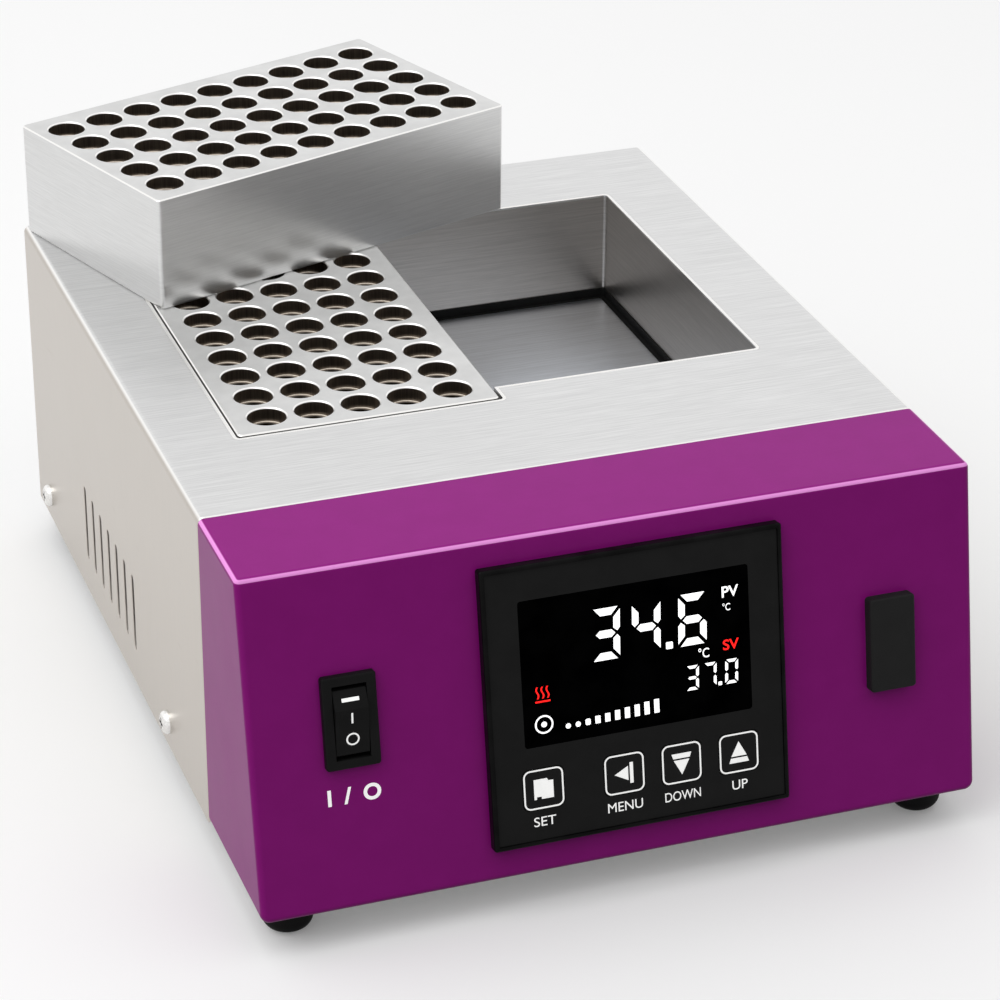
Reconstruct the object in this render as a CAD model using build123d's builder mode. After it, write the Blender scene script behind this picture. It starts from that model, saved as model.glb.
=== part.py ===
"""Dry bath incubator: a bench heater for sample tubes.

A folded steel housing with a leaning purple front holds a heating well. Two aluminium tube
blocks go with it: one stands in the left bay of the well, the other lies askew on top.
X runs to the right, Y to the back and Z up. The origin is on the table, under the middle of
everything that is modelled. All sizes are in millimetres.
"""

from build123d import *
import os
from math import cos, radians, sin, tan

os.makedirs("parts", exist_ok=True)

# Housing
body_width = 235.0
body_depth = 296.0
face_lean = 10.2
bezel_depth = 60.0
bezel_wall = 2.5
bezel_round = 2.0
bezel_foot_round = 3.0
seam_gap = 0.7
steel_gauge = 1.5
fold_radius = 2.4
rolled_edge = 0.7
sheet_slip = 0.2
lip_length = 7.0
lip_gauge = 1.4
lip_root = 4.0
return_width = 12.0
tray_lip = 20.0
tray_rear_lip = 10.0
bezel_ledge_width = 14.0
bezel_ledge_gauge = 2.0

# Feet
foot_height = 12.0
foot_radius = 8.0
foot_inset = 12.5
foot_setback = 17.0
foot_dome = 4.2

# Vent slots in each side
slot_count = 7
slot_web = 7.75
slot_width = 3.4
slot_length = 28.0
slot_setback = 185.0
slot_height = 27.2
slot_rim = 0.25
floor_slot_length = 42.0
floor_slot_rows = 6

# Heating well and tube blocks
block_side_wall = 5.95
block_end_wall = 4.45
block_corner = 1.5
block_chamfer = 0.4
well_columns = 5
well_rows = 9
well_web = 2.9
mouth_radius = 6.3
mouth_depth = 4.9
mouth_chamfer = 0.4
well_radius = 5.2
well_depth = 34.0
well_floor = 5.5
well_bottom_round = 4.0
bay_gap = 0.8
bay_front_gap = 1.6
bay_spare = 6.8
bay_centre_x = -1.7
bay_setback = 108.4
bay_step = 9.2
bay_corner = 1.2
liner_gauge = 1.2
gasket_height = 3.0
gasket_proud = 0.5
gasket_foot_width = 2.3
gasket_foot_depth = 1.0
plate_thickness = 8.0
plate_margin = 2.0
mat_thickness = 1.5
mat_inset = 14.0
mat_tab_width = 12.0
mat_tab_reach = 4.0
insulation_thickness = 18.0
rail_gauge = 2.0
rail_reach = 16.0
rail_edge = 6.0
post_inset = 7.0
post_radius = 4.0
post_neck_radius = 3.0
post_stud_radius = 2.0
post_stud_length = 5.0
post_hole_depth = 8.0
cutout_radius = 8.0
cutout_height = 10.0
cutout_flange_gauge = 1.0
cutout_flange_length = 32.0
cutout_flange_width = 10.0
cutout_screw_spacing = 24.0
cutout_blade_length = 7.0
cutout_clearance = 3.0

# The lifted block's place: its front left corner from the bay's left and back, and its turn
lifted_from_left = 2.4
lifted_from_back = 46.3
lifted_turn = 18.7

# Temperature controller: its frame overlaps its case, and the leaning face is as long as it needs
controller_x = 3.9
controller_above = 8.13
controller_below = 11.1
controller_proud = 3.8
controller_rim = 1.5
controller_ledge = 1.8
controller_round = 0.9
face_plate_gauge = 1.5
case_width = 90.0
case_height = 83.0
case_lift = 1.4
case_depth = 50.0
case_wall = 2.0
frame_overlap_side = 3.5
frame_overlap_end = 3.5
window_width = 74.0
window_height = 46.9
window_x = 0.0
window_rise = 10.25
key_size = 13.2
key_round = 2.0
key_from_bottom = 18.15
key_from_left = 16.65
key_from_right = 16.5
key_row_shares = {"set": 0.0, "menu": 0.4096, "down": 0.7033, "up": 1.0}
key_gap = 0.2
key_proud = 0.1
key_travel = 0.5
key_cap_height = 2.1
key_flange = 0.8
key_stem_radius = 1.5
key_stem_slack = 0.1
board_gauge = 1.6
display_board_drop = 3.0
display_block_inset = 3.0
power_board_drop = 30.0
transformer_width = 30.0
transformer_length = 26.0
transformer_height = 18.0
board_relay_width = 20.0
board_relay_length = 16.0
board_relay_height = 15.0
capacitor_radius = 6.0
capacitor_height = 14.0
board_part_inset = 7.2
terminal_width = 70.0
terminal_height = 16.0
terminal_depth = 9.0
terminal_ways = 8
terminal_barrier = 2.4
terminal_lip = 2.5
terminal_recess = 4.0
clamp_width = 6.0
clamp_height = 18.0
clamp_length = 24.0
clamp_screw_reach = 4.0
clamp_screw_radius = 2.0

# Power switch
switch_from_side = 31.3
switch_rise = 6.4
switch_width = 17.0
switch_height = 29.5
switch_proud = 2.5
switch_body_width = 13.6
switch_body_height = 25.6
switch_body_depth = 20.0
rocker_width = 10.3
rocker_half_length = 10.8
rocker_ridge = 5.4
rocker_face_height = 6.4
rocker_end_height = 3.4
rocker_side_gap = 0.25
rocker_end_gap = 0.4
rocker_pivot_depth = 3.0
rocker_rest_tilt = 8.0
rocker_chin = 1.2
rocker_taper = 0.3
rocker_skirt = 2.0
rocker_keel = 5.5
rocker_keel_half = 6.5
trunnion_radius = 1.5
switch_blade_length = 9.0
blade_gauge = 0.8
blade_width = 6.3
running_gap = 0.05

# Blanked cut-out
blank_from_side = 29.0
blank_rise = 1.4
blank_width = 15.2
blank_height = 30.6
blank_proud = 4.0
blank_neck_width = 13.0
blank_neck_height = 28.0
blank_neck_reach = 4.0
blank_wall = 2.0
snap_proud = 0.8
snap_height = 2.5

# Mains inlet on the rear panel
inlet_from_side = 47.5
inlet_height = 28.0
inlet_flange_width = 50.0
inlet_flange_height = 34.0
inlet_flange_gauge = 3.0
inlet_body_width = 27.6
inlet_body_height = 31.6
inlet_body_depth = 26.0
socket_width = 24.4
socket_height = 16.4
socket_depth = 18.0
socket_rise = 6.4
socket_corner = 4.0
pin_width = 2.0
pin_height = 4.0
pin_length = 13.4
pin_tail = 8.0
drawer_width = 23.6
drawer_height = 8.2
drawer_depth = 23.0
drawer_drop = 9.4
drawer_gap = 0.3
fuse_radius = 2.6
fuse_length = 20.0
inlet_screw_spacing = 40.0

# Parts on the floor of the tray
relay_width = 45.0
relay_length = 58.0
relay_height = 22.0
relay_setback = 70.0
relay_from_side = 12.0
relay_screw_spacing = 47.0
relay_shoulder = 4.0
relay_terminal_inset_x = 7.0
relay_terminal_inset_y = 9.0
relay_terminal_radius = 4.0
relay_terminal_height = 1.5
strip_x = -45.0
strip_setback = 165.0
strip_width = 18.0
strip_length = 52.0
strip_height = 14.0
strip_base = 5.0
strip_ways = 6
strip_end = 8.0
strip_barrier = 1.4
strip_spine = 3.0
earth_from_side = 25.5
earth_from_back = 55.0
earth_stud_radius = 2.5
earth_stud_height = 16.0
earth_nut_height = 4.0

# Fasteners and leads
small_screw = 3.0
large_screw = 4.0
screw_gap = 0.1
screw_head_share = 0.68
side_screw_height = 10.0
side_screw_setbacks = (108.0, 276.0)
foot_hole_depth = 9.0
mains_lead_radius = 1.8
probe_lead_radius = 1.2
probe_radius = 2.0
probe_length = 50.0
probe_sleeve_radius = 3.0
probe_sleeve_length = 14.0
probe_x = 40.0

# Worked out from the sizes above
controller_width = case_width + 2 * frame_overlap_side
controller_height = case_height + 2 * frame_overlap_end
controller_rise = (controller_below - controller_above) / 2
lean = radians(face_lean)
face_length = controller_below + controller_height + controller_above
body_height = face_length * cos(lean)
well_pitch = 2 * mouth_radius + well_web
block_width = (well_columns - 1) * well_pitch + 2 * (mouth_radius + block_side_wall)
block_length = (well_rows - 1) * well_pitch + 2 * (mouth_radius + block_end_wall)
block_height = well_depth + well_floor
bay_width = 2 * block_width + bay_spare
slot_pitch = slot_width + slot_web
base_z = foot_height
top_z = base_z + body_height
floor_z = base_z + steel_gauge
half_width = body_width / 2
switch_x = switch_from_side - half_width
blank_x = half_width - blank_from_side
earth_x = half_width - earth_from_side
turn = radians(lifted_turn)
bay_length = block_length + bay_front_gap + bay_gap
controller_low = face_length / 2 + controller_rise - controller_height / 2
front_reach = controller_low * sin(lean) - controller_proud * cos(lean)
lifted_setback = bay_setback + bay_length - lifted_from_back
rear_reach = lifted_setback + block_length * sin(turn) + block_width * cos(turn)
front_y = -(front_reach + rear_reach) / 2
seam_y = front_y + bezel_depth
cover_front_y = seam_y + seam_gap
back_y = front_y + body_depth
returns_y = back_y - steel_gauge - 0.1
lip_end_y = seam_y + lip_length

bay_left = bay_centre_x - bay_width / 2
bay_right = bay_centre_x + bay_width / 2
bay_front = front_y + bay_setback
bay_back = bay_front + bay_length
notch_x = bay_left + block_width + 2 * bay_gap
step_y = bay_front + bay_step
plate_z = top_z - block_height
plate_low_z = plate_z - plate_thickness
mat_low_z = plate_low_z - mat_thickness
insulation_low_z = mat_low_z - insulation_thickness
rail_low_z = insulation_low_z - rail_gauge
plate_left = bay_left - liner_gauge - plate_margin
plate_right = bay_right + liner_gauge + plate_margin
plate_front = bay_front - liner_gauge - plate_margin
plate_back = bay_back + liner_gauge + plate_margin
plate_x = (plate_left + plate_right) / 2
plate_y = (plate_front + plate_back) / 2
plate_width = plate_right - plate_left
plate_length = plate_back - plate_front
post_span_x = plate_width - 2 * post_inset
post_span_y = plate_length - 2 * post_inset

STANDING = (Align.CENTER, Align.CENTER, Align.MIN)
HANGING = (Align.CENTER, Align.CENTER, Align.MAX)

# The leaning face: its local X is the body's X, local Y runs up the face, Z points out
face = Plane(origin=(0, front_y, base_z), x_dir=(1, 0, 0), z_dir=(0, -cos(lean), sin(lean)))


def on_face(x, rise, out=0.0):
    """Plane on the leaning face, rise being measured up from the face's middle."""
    place = face.from_local_coords(Vector(x, face_length / 2 + rise, out))
    return Plane(origin=place, x_dir=face.x_dir, z_dir=face.z_dir)


def facing_front(y, x=0.0, z=0.0):
    """Upright plane across the body that faces the front."""
    return Plane(origin=(x, y, z), x_dir=(1, 0, 0), z_dir=(0, -1, 0))


def facing_back(y, x=0.0, z=0.0):
    """Upright plane across the body that faces the back."""
    return Plane(origin=(x, y, z), x_dir=(-1, 0, 0), z_dir=(0, 1, 0))


def arch(half, low, high, wall, corner):
    """Section of a sheet folded over the body: a top and two sides, open below."""
    with BuildSketch() as section:
        with Locations((0, (low + high) / 2)):
            Rectangle(2 * half, high - low)
        fillet(section.vertices().group_by(Axis.Y)[-1], corner)
        with Locations((0, low - wall)):
            Rectangle(
                2 * (half - wall), high - low, align=(Align.CENTER, Align.MIN), mode=Mode.SUBTRACT
            )
    return section.sketch


def bay_outline(grow):
    """Outline of the heating well, stepped at its front, grown outwards by an amount."""
    inner_corner = Vector(notch_x + grow, step_y - grow)
    with BuildSketch() as outline:
        with BuildLine():
            Polyline(
                (bay_left - grow, bay_front - grow),
                (notch_x + grow, bay_front - grow),
                inner_corner,
                (bay_right + grow, step_y - grow),
                (bay_right + grow, bay_back + grow),
                (bay_left - grow, bay_back + grow),
                close=True,
            )
        make_face()
        outer_corners = outline.vertices().filter_by(
            lambda corner: (Vector(corner) - inner_corner).length > bay_corner
        )
        fillet(outer_corners, bay_corner + max(grow, 0))
    return outline.sketch


def pan_screw(seat, size, length):
    """Pan head screw with a cross recess: its head stands on the seat, its shank goes below."""
    head_height = screw_head_share * size
    with BuildPart(seat) as screw:
        Cylinder(size, head_height, align=STANDING)
        head_rim = screw.edges().sort_by(Axis(seat.origin, seat.z_dir))[-1]
        fillet(head_rim, 0.75 * head_height)
        with BuildSketch(seat.offset(head_height)):
            Rectangle(0.2 * size, size)
            Rectangle(size, 0.2 * size)
        extrude(amount=-0.5 * head_height, mode=Mode.SUBTRACT)
        Cylinder(size / 2, length, align=HANGING)
    return screw.part


def screw_hole(size):
    """Radius of a clearance hole for a screw."""
    return size / 2 + screw_gap


def tube_block(seat):
    """Tube block hanging below its top plane, with a grid of stepped round-bottomed wells."""
    with BuildPart(seat) as block:
        Box(block_width, block_length, block_height, align=HANGING)
        fillet(block.edges().filter_by(Axis.Z), block_corner)
        chamfer(block.faces().sort_by(Axis.Z)[-1].edges(), block_chamfer)
        chamfer(block.faces().sort_by(Axis.Z)[0].edges(), block_chamfer)
        with GridLocations(well_pitch, well_pitch, well_columns, well_rows):
            CounterBoreHole(well_radius, mouth_radius, mouth_depth, well_depth)
        rings = block.edges().filter_by(GeomType.CIRCLE)
        bottoms = rings.filter_by(lambda ring: abs(ring.radius - well_radius) < 0.01).group_by(Axis.Z)
        fillet(bottoms[0], well_bottom_round)
        mouths = block.edges().filter_by(GeomType.CIRCLE).filter_by(
            lambda ring: abs(ring.radius - mouth_radius) < 0.01
        )
        chamfer(mouths.group_by(Axis.Z)[-1], mouth_chamfer)
    return block.part


def lead(points, radius):
    """Round lead along runs joined by arcs as large as each corner's runs allow."""
    route_points = [Vector(point) for point in points]
    bends = []
    for before, here, after in zip(route_points, route_points[1:], route_points[2:]):
        run_in = here - before
        run_out = after - here
        half_turn = radians(run_in.get_angle(run_out)) / 2
        bends.append(0.45 * min(run_in.length, run_out.length) / tan(half_turn))
    print("lead bends:", [round(bend, 1) for bend in bends])
    with BuildPart() as wire:
        with BuildLine() as route:
            FilletPolyline(*route_points, radius=bends)
        with BuildSketch(Plane(origin=route.line @ 0, z_dir=route.line % 0)):
            Circle(radius)
        sweep(path=route.line)
    return wire.part


foot_places = {
    "front_left": (-half_width + foot_inset, front_y + foot_setback),
    "front_right": (half_width - foot_inset, front_y + foot_setback),
    "rear_left": (-half_width + foot_inset, back_y - foot_setback),
    "rear_right": (half_width - foot_inset, back_y - foot_setback),
}
post_places = [
    (plate_x + across * post_span_x / 2, plate_y + along * post_span_y / 2)
    for across in (-1, 1)
    for along in (-1, 1)
]
bezel_screw_places = [(side * body_width / 4, front_y + bezel_ledge_width / 2 + 3) for side in (-1, 1)]
relay_x = half_width - bezel_wall - relay_from_side - relay_width / 2
relay_y = front_y + relay_setback
relay_screw_places = [(relay_x, relay_y + end * relay_screw_spacing / 2) for end in (-1, 1)]
strip_y = front_y + strip_setback
strip_screw_places = [(strip_x, strip_y + end * (strip_length / 2 - 4)) for end in (-1, 1)]
earth_y = back_y - earth_from_back
side_screw_places = [(front_y + setback, base_z + side_screw_height) for setback in side_screw_setbacks]
rear_screw_places = [
    (side * (half_width - return_width), base_z + tray_rear_lip / 2 + steel_gauge / 2)
    for side in (-0.5, 0.5)
] + [
    (side * (half_width - 3 * return_width), top_z - steel_gauge - return_width / 2)
    for side in (-1, 1)
]
inlet_x = half_width - inlet_from_side
inlet_z = base_z + inlet_height

# Base tray: the floor sheet with its upturned edges
floor_half = half_width - steel_gauge - sheet_slip
floor_front_half = half_width - bezel_wall - sheet_slip
floor_front_y = front_y + bezel_wall / cos(lean) + steel_gauge * tan(lean) + sheet_slip
flange_front_y = lip_end_y + 1
floor_back_y = returns_y
side_lip_back_y = floor_back_y - 2 * steel_gauge - sheet_slip
with BuildPart() as base_tray:
    with BuildSketch(Plane.XY.offset(base_z)):
        with Locations((0, floor_front_y)):
            Rectangle(2 * floor_front_half, floor_back_y - floor_front_y, align=(Align.CENTER, Align.MIN))
        with Locations((0, flange_front_y)):
            Rectangle(2 * floor_half, floor_back_y - flange_front_y, align=(Align.CENTER, Align.MIN))
    extrude(amount=steel_gauge)
    with BuildSketch(Plane.XY.offset(base_z)):
        for side in (-1, 1):
            with Locations((side * (floor_half - steel_gauge / 2), flange_front_y)):
                Rectangle(steel_gauge, side_lip_back_y - flange_front_y, align=(Align.CENTER, Align.MIN))
    extrude(amount=tray_lip)
    with BuildSketch(Plane.XY.offset(base_z)):
        with Locations((0, floor_back_y)):
            Rectangle(2 * (half_width - return_width) - 4, steel_gauge, align=(Align.CENTER, Align.MAX))
    extrude(amount=tray_rear_lip)
    with BuildSketch(Plane.XY.offset(base_z - 1)):
        with Locations(*foot_places.values(), *post_places, *relay_screw_places):
            Circle(screw_hole(large_screw))
        with Locations(*bezel_screw_places, *strip_screw_places):
            Circle(screw_hole(small_screw))
        with Locations((earth_x, earth_y)):
            Circle(earth_stud_radius + screw_gap)
        for side in (-1, 1):
            with Locations((plate_x + side * plate_width / 4, plate_y)):
                with GridLocations(0, 3 * slot_width, 1, floor_slot_rows):
                    SlotOverall(floor_slot_length, slot_width)
    extrude(amount=steel_gauge + 2, mode=Mode.SUBTRACT)
    with BuildSketch(Plane.YZ.offset(half_width)):
        with Locations(*side_screw_places):
            Circle(screw_hole(large_screw))
    extrude(amount=-body_width, mode=Mode.SUBTRACT)
    with BuildSketch(facing_front(floor_back_y - 2 * steel_gauge)):
        with Locations(*rear_screw_places[:2]):
            Circle(screw_hole(small_screw))
    extrude(amount=-3 * steel_gauge, mode=Mode.SUBTRACT)
base_tray.part.label = "base_tray"
export_step(base_tray.part, "parts/base_tray.step")

# Housing cover: folded top and sides with the well's opening and the vent slots
slot_places = [
    (front_y + slot_setback + (i - (slot_count - 1) / 2) * slot_pitch, base_z + slot_height)
    for i in range(slot_count)
]
returns_low_z = base_z + tray_lip + 1


def on_cover_outside(edge):
    """Whether an edge lies on the outer surface of the folded cover."""
    middle = edge @ 0.5
    return abs(middle.X) > half_width - fold_radius / 2 or middle.Z > top_z - fold_radius / 2


with BuildPart() as housing_cover:
    with BuildSketch(facing_front(cover_front_y)):
        add(arch(half_width, base_z, top_z, steel_gauge, fold_radius))
    extrude(amount=cover_front_y - back_y)
    front_rim = housing_cover.faces().sort_by(Axis.Y)[0].edges()
    fillet(front_rim.filter_by(on_cover_outside), rolled_edge)
    with BuildSketch(facing_front(returns_y)):
        add(
            arch(
                half_width - steel_gauge / 2,
                returns_low_z,
                top_z - steel_gauge / 2,
                return_width,
                fold_radius,
            )
        )
    extrude(amount=steel_gauge)
    with BuildSketch(Plane.XY.offset(top_z + 1)):
        add(bay_outline(liner_gauge + running_gap))
    extrude(amount=-steel_gauge - 2, mode=Mode.SUBTRACT)
    with BuildSketch(Plane.YZ.offset(half_width + 1)):
        with Locations(*slot_places):
            SlotOverall(slot_length, slot_width, rotation=90)
        with Locations(*side_screw_places):
            Circle(screw_hole(large_screw))
    extrude(amount=-body_width - 2, mode=Mode.SUBTRACT)
    side_faces = housing_cover.faces().filter_by(Axis.X).group_by(Axis.X)
    for side_face in side_faces[0] + side_faces[-1]:
        chamfer([edge for rim in side_face.inner_wires() for edge in rim.edges()], slot_rim)
    with BuildSketch(facing_front(returns_y - 2 * steel_gauge)):
        with Locations(*rear_screw_places[2:]):
            Circle(screw_hole(small_screw))
    extrude(amount=-3 * steel_gauge, mode=Mode.SUBTRACT)
housing_cover.part.label = "housing_cover"
export_step(housing_cover.part, "parts/housing_cover.step")

# Rear panel, set flush in the back of the cover
panel_half = half_width - steel_gauge - sheet_slip
panel_high_z = top_z - steel_gauge - sheet_slip
with BuildPart() as rear_panel:
    with BuildSketch(facing_back(back_y)):
        with Locations((0, (base_z + panel_high_z) / 2)):
            Rectangle(2 * panel_half, panel_high_z - base_z)
        with Locations(*rear_screw_places):
            Circle(screw_hole(small_screw), mode=Mode.SUBTRACT)
        with Locations((-inlet_x, inlet_z)):
            Rectangle(inlet_body_width + 1, inlet_body_height + 1, mode=Mode.SUBTRACT)
            with GridLocations(inlet_screw_spacing, 0, 2, 1):
                Circle(screw_hole(small_screw), mode=Mode.SUBTRACT)
        with Locations((inlet_x, (base_z + panel_high_z) / 2)):
            with GridLocations(0, 3 * slot_width, 1, floor_slot_rows):
                SlotOverall(floor_slot_length, slot_width, mode=Mode.SUBTRACT)
    extrude(amount=-steel_gauge)
rear_panel.part.label = "rear_panel"
export_step(rear_panel.part, "parts/rear_panel.step")

# Front bezel: moulded shell with the leaning face, its lip tucked under the cover
inner_front_y = front_y + bezel_wall / cos(lean)
inner_top_z = top_z - bezel_wall
inner_reach = 5.0
with BuildPart() as front_bezel:
    with BuildSketch(Plane.YZ.offset(-half_width)):
        with BuildLine():
            Polyline(
                (front_y, base_z),
                (front_y + body_height * tan(lean), top_z),
                (seam_y, top_z),
                (seam_y, base_z),
                close=True,
            )
        make_face()
    extrude(amount=body_width)
    fillet(front_bezel.edges().filter_by(Axis.Y).group_by(Axis.Z)[0], bezel_foot_round)
    face_and_top_edges = front_bezel.edges().filter_by(
        lambda edge: edge.center().Y < front_y + bezel_round
        or (edge.center().Y < seam_y - 1 and edge.center().Z > base_z + 2 * bezel_foot_round)
    )
    fillet(face_and_top_edges, bezel_round)
    with BuildSketch(Plane.YZ.offset(bezel_wall - half_width)):
        with BuildLine():
            Polyline(
                (inner_front_y - inner_reach * tan(lean), base_z - inner_reach),
                (inner_front_y + (body_height - bezel_wall) * tan(lean), inner_top_z),
                (seam_y + inner_reach, inner_top_z),
                (seam_y + inner_reach, base_z - inner_reach),
                close=True,
            )
        make_face()
    extrude(amount=body_width - 2 * bezel_wall, mode=Mode.SUBTRACT)
    with BuildSketch(facing_front(seam_y - lip_root)):
        add(
            arch(
                half_width - steel_gauge - sheet_slip,
                floor_z + sheet_slip,
                top_z - steel_gauge - sheet_slip,
                lip_gauge,
                fold_radius - steel_gauge,
            )
        )
    extrude(amount=-lip_root - lip_length)
    with BuildSketch(Plane.XY.offset(floor_z + running_gap)):
        with Locations((0, front_y + bezel_wall / 2)):
            Rectangle(body_width - 40, bezel_ledge_width, align=(Align.CENTER, Align.MIN))
    extrude(amount=bezel_ledge_gauge)
    with BuildSketch(Plane.XY.offset(floor_z - 1)):
        with Locations(*bezel_screw_places):
            Circle(screw_hole(small_screw))
    extrude(amount=bezel_ledge_gauge + 2, mode=Mode.SUBTRACT)
    with BuildSketch(on_face(0, 0, 1)):
        with Locations((controller_x, controller_rise + case_lift)):
            Rectangle(case_width + 0.8, case_height + 0.8)
        with Locations((switch_x, switch_rise)):
            Rectangle(switch_body_width + 0.4, switch_body_height + 0.4)
        with Locations((blank_x, blank_rise)):
            Rectangle(blank_neck_width + 0.4, blank_neck_height + 0.4)
    extrude(amount=-bezel_wall - 2, mode=Mode.SUBTRACT)
front_bezel.part.label = "front_bezel"
export_step(front_bezel.part, "parts/front_bezel.step")

# Well liner: the steel walls that hang in the opening, their top edge flush with the cover
liner_low_z = plate_z + gasket_height
with BuildPart() as well_liner:
    with BuildSketch(Plane.XY.offset(liner_low_z)):
        add(bay_outline(liner_gauge))
        add(bay_outline(0), mode=Mode.SUBTRACT)
    extrude(amount=top_z - liner_low_z)
well_liner.part.label = "well_liner"
export_step(well_liner.part, "parts/well_liner.step")

# Well gasket: the seal under the liner, its foot flush in a rebate of the hot plate
with BuildPart() as well_gasket:
    with BuildSketch(Plane.XY.offset(plate_z)):
        add(bay_outline(liner_gauge))
        add(bay_outline(-gasket_proud), mode=Mode.SUBTRACT)
    extrude(amount=gasket_height)
    with BuildSketch(Plane.XY.offset(plate_z)):
        add(bay_outline(liner_gauge))
        add(bay_outline(-gasket_foot_width), mode=Mode.SUBTRACT)
    extrude(amount=-gasket_foot_depth)
well_gasket.part.label = "well_gasket"
export_step(well_gasket.part, "parts/well_gasket.step")

# Heating plate with blind holes for the posts, the cut-out's screws and the probe
cutout_screw_places = [(plate_x + side * cutout_screw_spacing / 2, plate_y) for side in (-1, 1)]
probe_plane = facing_front(plate_front, probe_x, plate_z - plate_thickness / 2)
with BuildPart() as heating_plate:
    with BuildSketch(Plane.XY.offset(plate_z)):
        with Locations((plate_x, plate_y)):
            RectangleRounded(plate_width, plate_length, bay_corner)
    extrude(amount=-plate_thickness)
    with BuildSketch(Plane.XY.offset(plate_z)):
        add(bay_outline(liner_gauge + running_gap))
        add(bay_outline(-gasket_foot_width - running_gap), mode=Mode.SUBTRACT)
    extrude(amount=-gasket_foot_depth, mode=Mode.SUBTRACT)
    with BuildSketch(Plane.XY.offset(plate_low_z)):
        with Locations(*post_places):
            Circle(post_stud_radius + running_gap)
        with Locations(*cutout_screw_places):
            Circle(screw_hole(small_screw))
    extrude(amount=post_stud_length + 0.3, mode=Mode.SUBTRACT)
    with BuildSketch(probe_plane):
        Circle(probe_radius + running_gap)
    extrude(amount=-probe_length - 0.3, mode=Mode.SUBTRACT)
heating_plate.part.label = "heating_plate"
export_step(heating_plate.part, "parts/heating_plate.step")

# Heater mat under the plate, with its lead tab at the front
mat_tab_x = plate_right - 2 * mat_inset
cutout_window = (
    cutout_flange_length + 2 * cutout_clearance,
    2 * (cutout_radius + cutout_clearance),
)
with BuildPart() as heater_mat:
    with BuildSketch(Plane.XY.offset(mat_low_z)):
        with Locations((plate_x, plate_y)):
            RectangleRounded(plate_width - 2 * mat_inset, plate_length - 2 * mat_inset, 3)
            Rectangle(*cutout_window, mode=Mode.SUBTRACT)
        with Locations((mat_tab_x, plate_front + mat_inset + 1)):
            Rectangle(mat_tab_width, mat_inset + 1 + mat_tab_reach, align=(Align.CENTER, Align.MAX))
    extrude(amount=mat_thickness)
heater_mat.part.label = "heater_mat"
export_step(heater_mat.part, "parts/heater_mat.step")

# Insulation slab under the mat
with BuildPart() as insulation:
    with BuildSketch(Plane.XY.offset(insulation_low_z)):
        with Locations((plate_x, plate_y)):
            RectangleRounded(plate_width - 2 * mat_inset, plate_length - 2 * mat_inset, 3)
            Rectangle(*cutout_window, mode=Mode.SUBTRACT)
    extrude(amount=insulation_thickness)
insulation.part.label = "insulation"
export_step(insulation.part, "parts/insulation.step")

# Support rails: two steel bars on the posts' shoulders, carrying the insulation
with BuildPart() as support_rails:
    with BuildSketch(Plane.XY.offset(rail_low_z)):
        for along in (-1, 1):
            rail_y = plate_y + along * (post_span_y / 2 + rail_edge - (rail_edge + rail_reach) / 2)
            with Locations((plate_x, rail_y)):
                RectangleRounded(post_span_x + 2 * rail_edge, rail_edge + rail_reach, 2)
        with Locations(*post_places):
            Circle(post_neck_radius + running_gap, mode=Mode.SUBTRACT)
    extrude(amount=rail_gauge)
support_rails.part.label = "support_rails"
export_step(support_rails.part, "parts/support_rails.step")

# Support posts: stepped pillars from the tray to the plate
with BuildPart() as support_posts:
    for place in post_places:
        with Locations((*place, floor_z)):
            Cylinder(post_radius, rail_low_z - floor_z, align=STANDING)
        with Locations((*place, rail_low_z)):
            Cylinder(post_neck_radius, plate_low_z - rail_low_z, align=STANDING)
        with Locations((*place, plate_low_z)):
            Cylinder(post_stud_radius, post_stud_length, align=STANDING)
        with Locations((*place, floor_z)):
            Cylinder(
                large_screw / 2 + running_gap, post_hole_depth + 0.3, align=STANDING, mode=Mode.SUBTRACT
            )
support_posts.part.label = "support_posts"
export_step(support_posts.part, "parts/support_posts.step")

# Post screws, from under the tray
with BuildPart() as post_screws:
    for place in post_places:
        under_floor = Plane(origin=(*place, base_z), x_dir=(1, 0, 0), z_dir=(0, 0, -1))
        add(pan_screw(under_floor, large_screw, steel_gauge + post_hole_depth))
post_screws.part.label = "post_screws"
export_step(post_screws.part, "parts/post_screws.step")

# Temperature probe in the edge of the plate, with its crimped sleeve outside
with BuildPart() as temperature_probe:
    with BuildSketch(probe_plane):
        Circle(probe_radius)
    extrude(amount=-probe_length)
    with BuildSketch(probe_plane):
        Circle(probe_sleeve_radius)
    extrude(amount=probe_sleeve_length)
    fillet(temperature_probe.edges().filter_by(GeomType.CIRCLE).sort_by(Axis.Y)[0], 0.8)
temperature_probe.part.label = "temperature_probe"
export_step(temperature_probe.part, "parts/temperature_probe.step")

# Thermal cut-out: a bimetal disc switch against the plate, in the window of the mat
with BuildPart() as thermal_cutout:
    with BuildSketch(Plane.XY.offset(plate_low_z)):
        with Locations((plate_x, plate_y)):
            SlotOverall(cutout_flange_length, cutout_flange_width)
            Circle(cutout_radius)
        with Locations(*cutout_screw_places):
            Circle(screw_hole(small_screw), mode=Mode.SUBTRACT)
    extrude(amount=-cutout_flange_gauge)
    with Locations((plate_x, plate_y, plate_low_z - cutout_flange_gauge)):
        Cylinder(cutout_radius, cutout_height, align=HANGING)
    with Locations((plate_x, plate_y, plate_low_z - cutout_flange_gauge - cutout_height)):
        with GridLocations(8, 0, 2, 1):
            Box(blade_gauge, blade_width, cutout_blade_length, align=HANGING)
thermal_cutout.part.label = "thermal_cutout"
export_step(thermal_cutout.part, "parts/thermal_cutout.step")

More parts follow.
